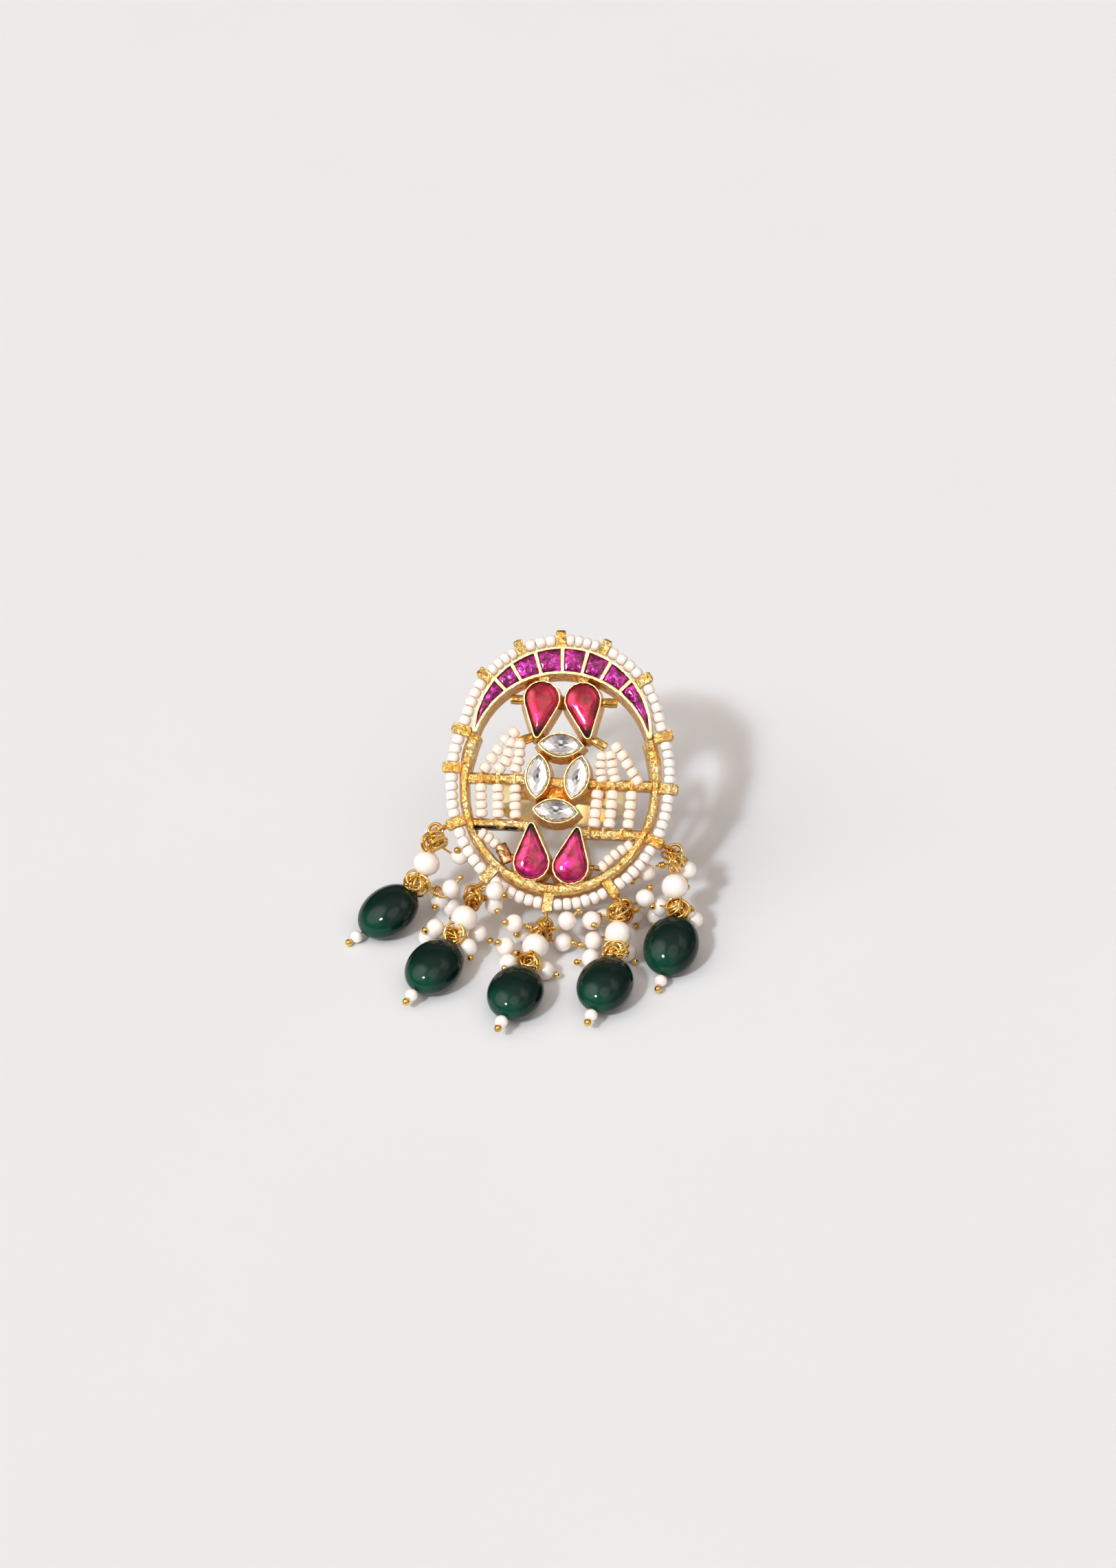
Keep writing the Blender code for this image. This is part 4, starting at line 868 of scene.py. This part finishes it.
def wire_into(bm, points, radius, sides=8, closed=False):
    """A round wire through the points."""
    points = [Vector(p) for p in points]
    count = len(points)
    side = None
    rings = []
    for i, point in enumerate(points):
        before = points[i - 1] if closed or i else point
        after = points[(i + 1) % count] if closed or i < count - 1 else point
        ahead = (after - before).normalized()
        if side is None:
            side = ahead.orthogonal().normalized()
        side = (side - ahead * side.dot(ahead)).normalized()
        other = ahead.cross(side)
        turns = [2 * pi * j / sides for j in range(sides)]
        rings.append([point + (side * cos(a) + other * sin(a)) * radius for a in turns])
    stack_rings(bm, rings, closed)


def circle_points(centre, axis, radius, start=0.0, sweep=360.0, steps=28, rise=0.0):
    """Points round an axis; a rise per turn makes a coil."""
    axis = Vector(axis).normalized()
    first = axis.orthogonal().normalized()
    second = axis.cross(first)
    points = []
    for i in range(steps):
        a = radians(start + sweep * i / (steps if sweep == 360.0 else steps - 1))
        lift = axis * (rise * (a - radians(start)) / (2 * pi))
        points.append(Vector(centre) + (first * cos(a) + second * sin(a)) * radius + lift)
    return points


def smooth_path(points):
    """A curve through the points, for wires that bend softly."""
    points = [Vector(p) for p in points]
    padded = [2 * points[0] - points[1]] + points + [2 * points[-1] - points[-2]]
    path = []
    for a, b, c, d in zip(padded, padded[1:], padded[2:], padded[3:]):
        for i in range(6):
            t = i / 6
            bend = (2 * a - 5 * b + 4 * c - d) * t**2 + (3 * b - a - 3 * c + d) * t**3
            path.append(0.5 * (2 * b + (c - a) * t + bend))
    path.append(points[-1])
    return path


def wander(chance, low=-1, high=1):
    """A random direction; its height keeps to the range."""
    return Vector((chance.uniform(-1, 1), chance.uniform(-1, 1), chance.uniform(low, high)))


def build_stage():
    """The pale table top."""
    bm = bmesh.new()
    for x, y in ((-1, -1), (1, -1), (1, 1), (-1, 1)):
        bm.verts.new((x * TABLE_REACH, y * TABLE_REACH, 0))
    bm.faces.new(bm.verts)
    bmesh.ops.subdivide_edges(bm, edges=bm.edges, cuts=6, use_grid_fill=True)
    look = Look("table_top")
    colour = look.blend(look.grain(14), (0.74, 0.745, 0.755), (0.77, 0.775, 0.785))
    look.set(base_color=colour, roughness=0.75)
    object_of("table_top", bm, look.material)


def build_lights():
    """A small key light under a warm room, darker at the back, with soft boxes and a lamp."""
    sun = bpy.data.lights.new("key", "SUN")
    sun.energy = 0.8
    sun.angle = radians(3.6)
    sun.color = (0.5, 0.8, 1.0)
    key = bpy.data.objects.new("key", sun)
    key.rotation_euler = Vector((-0.61, -0.81, 1.0)).to_track_quat("Z", "Y").to_euler()
    bpy.context.scene.collection.objects.link(key)

    world = bpy.data.worlds.new("studio")
    bpy.context.scene.world = world
    world.use_nodes = True
    studio = Nodes(world.node_tree, "Generated")
    parts = studio.node("SeparateXYZ", {0: studio.place()}).outputs
    heights = studio.ramp(parts["Z"], *((height, (value,) * 3) for height, value in ROOM))
    back = studio.inverse(studio.product(studio.band(parts["Y"], 0.1, 0.8), 0.6))
    panels = studio.graded(studio.band(studio.grain(1.5, 1.0), 0.4, 0.6), 0.9, 0.55)
    boxes = 0.0
    for direction, edge, full, brightness in SOFT_BOXES:
        box = studio.band(studio.along(Vector(direction).normalized()), edge, full)
        boxes = studio.maths("ADD", boxes, studio.product(box, brightness))
    light = studio.maths("ADD", studio.product(heights, back, panels), boxes)
    tint = studio.node("VectorMath", {0: ROOM_TINT, "Scale": light}, operation="SCALE")
    background = world.node_tree.nodes["Background"]
    studio.feed(background.inputs["Color"], tint.outputs[0])
    background.inputs["Strength"].default_value = 1.0


def build_camera(head):
    """The photograph's angle, 40 degrees down from the front."""
    data = bpy.data.cameras.new("camera")
    data.lens = 85
    camera = bpy.data.objects.new("camera", data)
    camera.location = head.translation + CAMERA_AWAY
    camera.rotation_euler = (radians(50), 0, 0)
    bpy.context.scene.collection.objects.link(camera)
    bpy.context.scene.camera = camera


def build_crescent(head, look):
    """The eight tablets, each with a low dome."""
    edges = (None,) + DIVIDER_ANGLES + (None,)
    for i, (first, last) in enumerate(zip(edges, edges[1:])):
        outline = crescent_cell(first, last)
        middle = sum(outline, Vector((0, 0))) / len(outline)
        rings = [at_height(outline, SEAT - POCKET_DEPTH)]
        for share, height in TABLET_DOME:
            rings.append(at_height([middle + (p - middle) * share for p in outline], height * MM))
        bm = bmesh.new()
        stack_rings(bm, rings)
        name = f"crescent_stone_{i + 1}"
        piece(name + "_foiled", bm, look, (name,), matrix=head)


def build_pears(head, looks):
    """The four domed pears."""
    for row, lift in (("upper", 0.1 * MM), ("lower", 0.12 * MM)):
        for side, name in ((LEFT, "left"), (RIGHT, "right")):
            centre, turn, radius = pear_place(side, row)
            outline = pear_outline(radius)
            rows = [(1.0, SEAT - POCKET_DEPTH)]
            for i in range(12):
                a = radians(7.8 * i)
                rows.append((cos(a), -0.35 * MM + PEAR_DOME * sin(a)))
            rings = []
            for share, height in rows:
                ring = [(x * share, (y + PEAR_TOP_DOWN) * share - PEAR_TOP_DOWN) for x, y in outline]
                rings.append(at_height(placed(ring, centre, turn), lift + height))
            bm = bmesh.new()
            stack_rings(bm, rings)
            node = f"pear_{row}_{name}"
            piece(node + "_dome", bm, looks[row], (node,), matrix=head)


def build_marquises(head, look, spot):
    """Crown facets round a table, inside which the pavilion facets fall to a painted dark point."""
    corners = marquise_outline()
    pairs = list(zip(corners, corners[1:] + corners[:1]))
    for i, (name, centre, degrees) in enumerate(MARQUISES):
        turn = radians(degrees)
        lift = (0.25 + 0.01 * i) * MM
        base = placed([(x * 0.62, y * 0.62) for x, y in corners], centre, turn)
        rings = [at_height(base, lift + (SEAT - POCKET_DEPTH))]
        for share, rise, skew in MARQUISE_FACETS:
            moved = [(x + (p - x) * skew, y + (q - y) * skew) for (x, y), (p, q) in pairs]
            ring = placed([(x * share, y * share) for x, y in moved], centre, turn)
            rings.append(at_height(ring, lift + MARQUISE_GIRDLE + rise * MARQUISE_CROWN))
        bm = bmesh.new()
        stack_rings(bm, rings)
        bmesh.ops.triangulate(bm, faces=[f for f in bm.faces if len(f.verts) == 4])
        obj = piece(name + "_cut", bm, look, (name,), False, head)
        obj.data.materials.append(spot)
        # The faces at the very middle take the painted shade of the dark point.
        lowest = lift + MARQUISE_GIRDLE - 0.2 * MARQUISE_CROWN
        for face in obj.data.polygons:
            away = Vector(face.center[:2]) - centre
            if face.center[2] > lowest and len(face.vertices) > 4 and away.length < 0.2 * MM:
                face.material_index = 1


def at_length(points, length):
    """The place and direction at this length along the points."""
    for here, there in zip(points, points[1:]):
        run = (there - here).length
        if length <= run:
            return here.lerp(there, length / run), (there - here).normalized()
        length -= run
    return points[-1], (points[-1] - points[-2]).normalized()


def build_bead_ring(head, look, thread):
    """Seeds round the oval, evenly spaced between the outer loops."""
    chance = Random(11)
    bm = bmesh.new()
    strand = []
    clear = LOOP_WIDTH + 0.1 * MM
    turns = sorted(angle % 360 for angle in OUTER_LOOPS)
    for here, there in zip(turns, turns[1:] + [turns[0] + 360]):
        points = [loop_place(here + (there - here) * i / 40)[0] for i in range(41)]
        total = sum((b - a).length for a, b in zip(points, points[1:]))
        count = max(1, round((total - clear) / SEED_PITCH))
        pitch = (total - clear) / count
        for i in range(count):
            place, ahead = at_length(points, clear / 2 + pitch * (i + 0.5))
            height = -STRING_DEPTH + chance.uniform(-0.06, 0.06) * MM
            size = min(1.0, 0.9 + 0.1 * pitch / SEED_PITCH)
            seed_into(bm, (*place, height), (*ahead, 0), chance, size, pitch - 0.04 * MM)
        strand += [(*p, -STRING_DEPTH) for p in points[:-1]]
    piece("bead_ring_seeds", bm, look, ("bead_ring",), matrix=head)
    bm = bmesh.new()
    wire_into(bm, strand, THREAD_RADIUS, closed=True)
    piece("bead_ring_thread", bm, thread, matrix=head)


def bead_run(bm, strand, points, chance, size):
    """Seeds at the given centres, each turned along its string, and the thread through them."""
    points = [Vector((x, y)) * MM for x, y in points]
    for i, point in enumerate(points):
        ahead = points[min(i + 1, len(points) - 1)] - points[max(i - 1, 0)]
        gaps = range(max(i, 1), min(i + 2, len(points)))
        near = min((points[j] - points[j - 1]).length for j in gaps)
        length = min(near - 0.04 * MM, SEED_PITCH)
        lift = chance.uniform(-0.08, 0.08) * MM
        seed_into(bm, (*point, STRING_LEVEL + lift), (*ahead, 0), chance, size, length)
    wire_into(strand, [(*p, STRING_LEVEL) for p in points], THREAD_RADIUS)


def build_string(node, runs, size, chance, head, look, thread):
    """A node's strings, as one piece of seeds and one of thread."""
    seeds, strand = bmesh.new(), bmesh.new()
    for run in runs:
        bead_run(seeds, strand, run, chance, size)
    piece(node + "_seeds", seeds, look, (node,), matrix=head)
    piece(node + "_thread", strand, thread, matrix=head)


def build_head_strings(head, look, thread):
    """The fans, the long strings between the bars and the short strings."""
    chance = Random(23)
    margin = BAR_WIDTH / 2
    for node, runs in FAN_SEEDS.items():
        build_string(node, runs, 0.97, chance, head, look, thread)
    for side, name, shares in LONG_STRINGS:
        mid, low = bar_span(side, "mid"), bar_span(side, "low")
        for i, share in enumerate(shares):
            top = mid[0].lerp(mid[1], share)
            start = Vector((top.x, top.y - margin - STRING_GAP))
            end = Vector((top.x - side * 0.4 * MM, low[0].y + margin + STRING_GAP))
            count = round((end - start).length / SEED_PITCH)
            run = [start.lerp(end, (j + 0.5) / count) / MM for j in range(count)]
            build_string(f"string_{name}_{i + 1}", [run], 1.0, chance, head, look, thread)
    for node, run in SHORT_SEEDS.items():
        build_string(node, [run], 0.92, chance, head, look, thread)


def sleeve(name, start, end, width, thickness, look, head):
    """A flattened tube from start to end, a little fuller in its middle."""
    shape = ((0.1, 0.5), (0.0, 0.6), (0.0, 0.95), (0.05, 1.0), (0.3, 1.06), (0.5, 1.1))
    shape += tuple((1 - share, grow) for share, grow in reversed(shape[:-1]))
    run = end - start
    rows = [(width / 2 * grow, share * run.length) for share, grow in shape]
    bm = bmesh.new()
    revolve(bm, start, axes_along(run), rows, 20, flat=thickness / width)
    piece(name, bm, look, matrix=head)


def build_sleeves(head, gold):
    """The copper sleeve left of the lower pears and the gold ones beside the upper pears."""
    start, end = (Vector((x * MM, y * MM, STRING_LEVEL)) for x, y in COPPER_ENDS)
    sleeve("copper_sleeve", start, end, 1.9 * MM, 1.0 * MM, copper_look(), head)
    for name, side, on, angle, distance in UPPER_SLEEVES:
        centre, turn, _ = pear_place(side, "upper")
        if on == "tip":
            centre = pear_tip(centre, turn)
        out = Vector((cos(radians(angle)), sin(radians(angle))))
        start = Vector((*(centre + out * (distance * MM - 1.15 * MM)), STRING_LEVEL))
        end = Vector((*(centre + out * (distance * MM + 1.2 * MM)), STRING_LEVEL))
        sleeve(f"sleeve_{name}", start, end, 1.5 * MM, 1.15 * MM, gold, head)


def pin_ball(centre, direction, distance):
    """Where a pearl's ball pin shows, from its direction and distance in the picture."""
    right, up, near = PICTURE
    a = radians(direction)
    flat = distance * SMALL_PEARL_RADIUS
    skin = SMALL_PEARL_RADIUS + 0.25 * MM
    depth = sqrt(max(0.0, skin**2 - flat**2))
    ball = centre + (right * cos(a) + up * sin(a)) * flat + near * depth
    ball.z = max(ball.z, SMALL_BALL_REST)
    return ball


def coils_into(wires, last, middle, count, chance):
    """Loose turns of wire between the last jump ring and the knot's middle."""
    for turn in range(count):
        lean = wander(chance, -0.6, 0.6)
        drift = wander(chance, -0.3, 0.5)
        core = last[0].lerp(middle, turn / count) + drift * 0.7 * MM
        width = chance.uniform(1.2, 1.8) * MM
        core.z = max(core.z, width + 0.5 * MM)
        coil = circle_points(core, last[1] + lean, width, 20 + 90 * turn, 430, 38, 0.5 * MM)
        wire_into(wires, coil, 0.76 * WIRE)


def pin_into(wires, centre, ball, last, wrap):
    """The ball-headed pin through a small pearl, wound and hooked on the last jump ring."""
    hook = on_ring(*last, centre)
    axis = (centre - ball).normalized()
    leave = centre + axis * (SMALL_PEARL_RADIUS + 0.1 * MM)
    bend = leave.lerp(hook, 0.5) + axis * 0.35 * MM
    loop = circle_points(hook, hook - last[0] + wrap * 0.2 * MM, 0.72 * MM, 40, 640, 32, 0.36 * MM)
    winding = circle_points(leave.lerp(bend, 0.45), bend - leave, 0.42 * MM, 0, 900, 40, 0.34 * MM)
    wire_into(wires, smooth_path([ball, centre, leave, bend, hook]), 0.68 * WIRE)
    wire_into(wires, loop, 0.7 * WIRE)
    wire_into(wires, winding, 0.6 * WIRE)
    rows = [(0.06 * MM, -0.54 * MM)]
    for k in range(1, 10):
        a = pi * k / 10
        rows.append((SMALL_BALL_RADIUS * sin(a), -0.54 * MM * cos(a)))
    rows.append((0.06 * MM, 0.54 * MM))
    revolve(wires, ball, axes_along(axis), rows, 14)


def build_knot(number, knot, places, look, gold, chance):
    """The wires and small pearls between two pieces of a drop."""
    node = f"drop_{number}_knot_{knot}"
    wires, pearls = bmesh.new(), bmesh.new()
    rings = places["rings"][knot]
    middle = places["middle"][knot]
    for centre, axis, radius in rings:
        wire_into(wires, circle_points(centre, axis, radius, steps=30), 0.95 * WIRE, 10, closed=True)
    last = rings[-1]
    wrap = wander(chance, -0.4, 0.4)
    coils_into(wires, last, middle, 7 if knot == 2 else 6, chance)
    for x, y, z, direction, distance in SMALL_PEARLS[number, knot]:
        centre = middle + Vector((x, y, z)) * SMALL_PEARL_RADIUS
        centre.z = max(centre.z, SMALL_PEARL_RADIUS)
        ball = pin_ball(centre, direction, distance)
        pearl_into(pearls, centre, (centre - ball).normalized(), 0.985 * SMALL_PEARL_RADIUS, chance, 0.95)
        pin_into(wires, centre, ball, last, wrap)
    piece(node + "_wires", wires, gold, (node,))
    piece(node + "_pearls", pearls, look, (node,))


def build_bead(node, centre, axis):
    """A drop's green bead, wider than it is thick."""
    angles = [pi * i / 28 for i in range(1, 28)]
    rows = [(0.5 * BEAD_WIDTH * sin(a), -0.5 * BEAD_LENGTH * cos(a)) for a in angles]
    bm = bmesh.new()
    revolve(bm, centre, axes_along(axis), rows, 40, flat=BEAD_THICKNESS / BEAD_WIDTH)
    piece(node + "_glass", bm, glass_bead_look(centre), (node,))


def build_tip(node, centre, axis, pearl, gold, chance):
    """A drop's white end bead and the ball-headed pin through it."""
    bm = bmesh.new()
    pearl_into(bm, centre, axis, TIP_RADIUS, chance, 0.95)
    piece(node + "_white", bm, pearl, (node,))
    bm = bmesh.new()
    radius = 0.88 * PIN_RADIUS
    ball_at = TIP_RADIUS + 0.75 * PIN_RADIUS
    rows = [(0.12 * MM, -1.6 * MM), (0.12 * MM, ball_at - radius)]
    for i in range(1, 12):
        a = radians(10) + (pi - radians(14)) * i / 12
        rows.append((radius * sin(a), ball_at - radius * cos(a)))
    revolve(bm, centre, axes_along(axis), rows, 16)
    piece(node + "_pin", bm, gold, (node,))


def build_drops(stand, gold, pearl):
    """The five drops, from their jump rings down to their end beads."""
    for number, *lie in DROPS:
        chance = Random(100 + number)
        places = laid_drop(*lie, stand)
        axis = places["axis"]
        build_bead(f"drop_{number}_bead", places["bead"], axis)
        bm = bmesh.new()
        pearl_into(bm, places["pearl"], places["way"], BIG_PEARL_RADIUS, chance, 0.97)
        node = f"drop_{number}_pearl"
        piece(node + "_round", bm, pearl, (node,))
        end = places["bead"] + axis * (BEAD_LENGTH / 2 + TIP_RADIUS + GAP)
        build_tip(f"drop_{number}_tip", end, axis, pearl, gold, chance)
        for knot in (1, 2):
            build_knot(number, knot, places, pearl, gold, chance)


def build_ring():
    """Everything, set on the place where the solids stand."""
    low, high = (Vector(corner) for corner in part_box("drop_1_pearl"))
    stand = (low + high) / 2 - laid_drop(*DROPS[0][1:], Vector())["pearl"]
    head = Matrix.Translation(stand) @ pose_of_head()

    build_camera(head)
    build_stage()
    build_lights()
    cast_gold = hammered_look(head)
    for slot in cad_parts["ring_frame"].material_slots:
        slot.material = cast_gold
    gold, pearl, thread = wire_look(), pearl_look("pearl"), thread_look()
    # The pears' foils carry painted shade towards their tips.
    crimson = foil_look("crimson", ((0, -1, 0), (0, UPPER_TIP + 2.3 * MM, 0)))
    rose = foil_look("rose", ((0, 1, 0), (0, LOWER_TIP - 2.0 * MM, 0)))
    build_crescent(head, foil_look("magenta"))
    build_pears(head, {"upper": crimson, "lower": rose})
    build_marquises(head, crystal_look(), dark_look())
    build_bead_ring(head, pearl_look("outer_seed"), thread)
    build_head_strings(head, pearl_look("inner_seed"), thread)
    build_sleeves(head, gold)
    build_drops(stand, gold, pearl)


build_ring()
bpy.context.scene.view_settings.view_transform = "Standard"
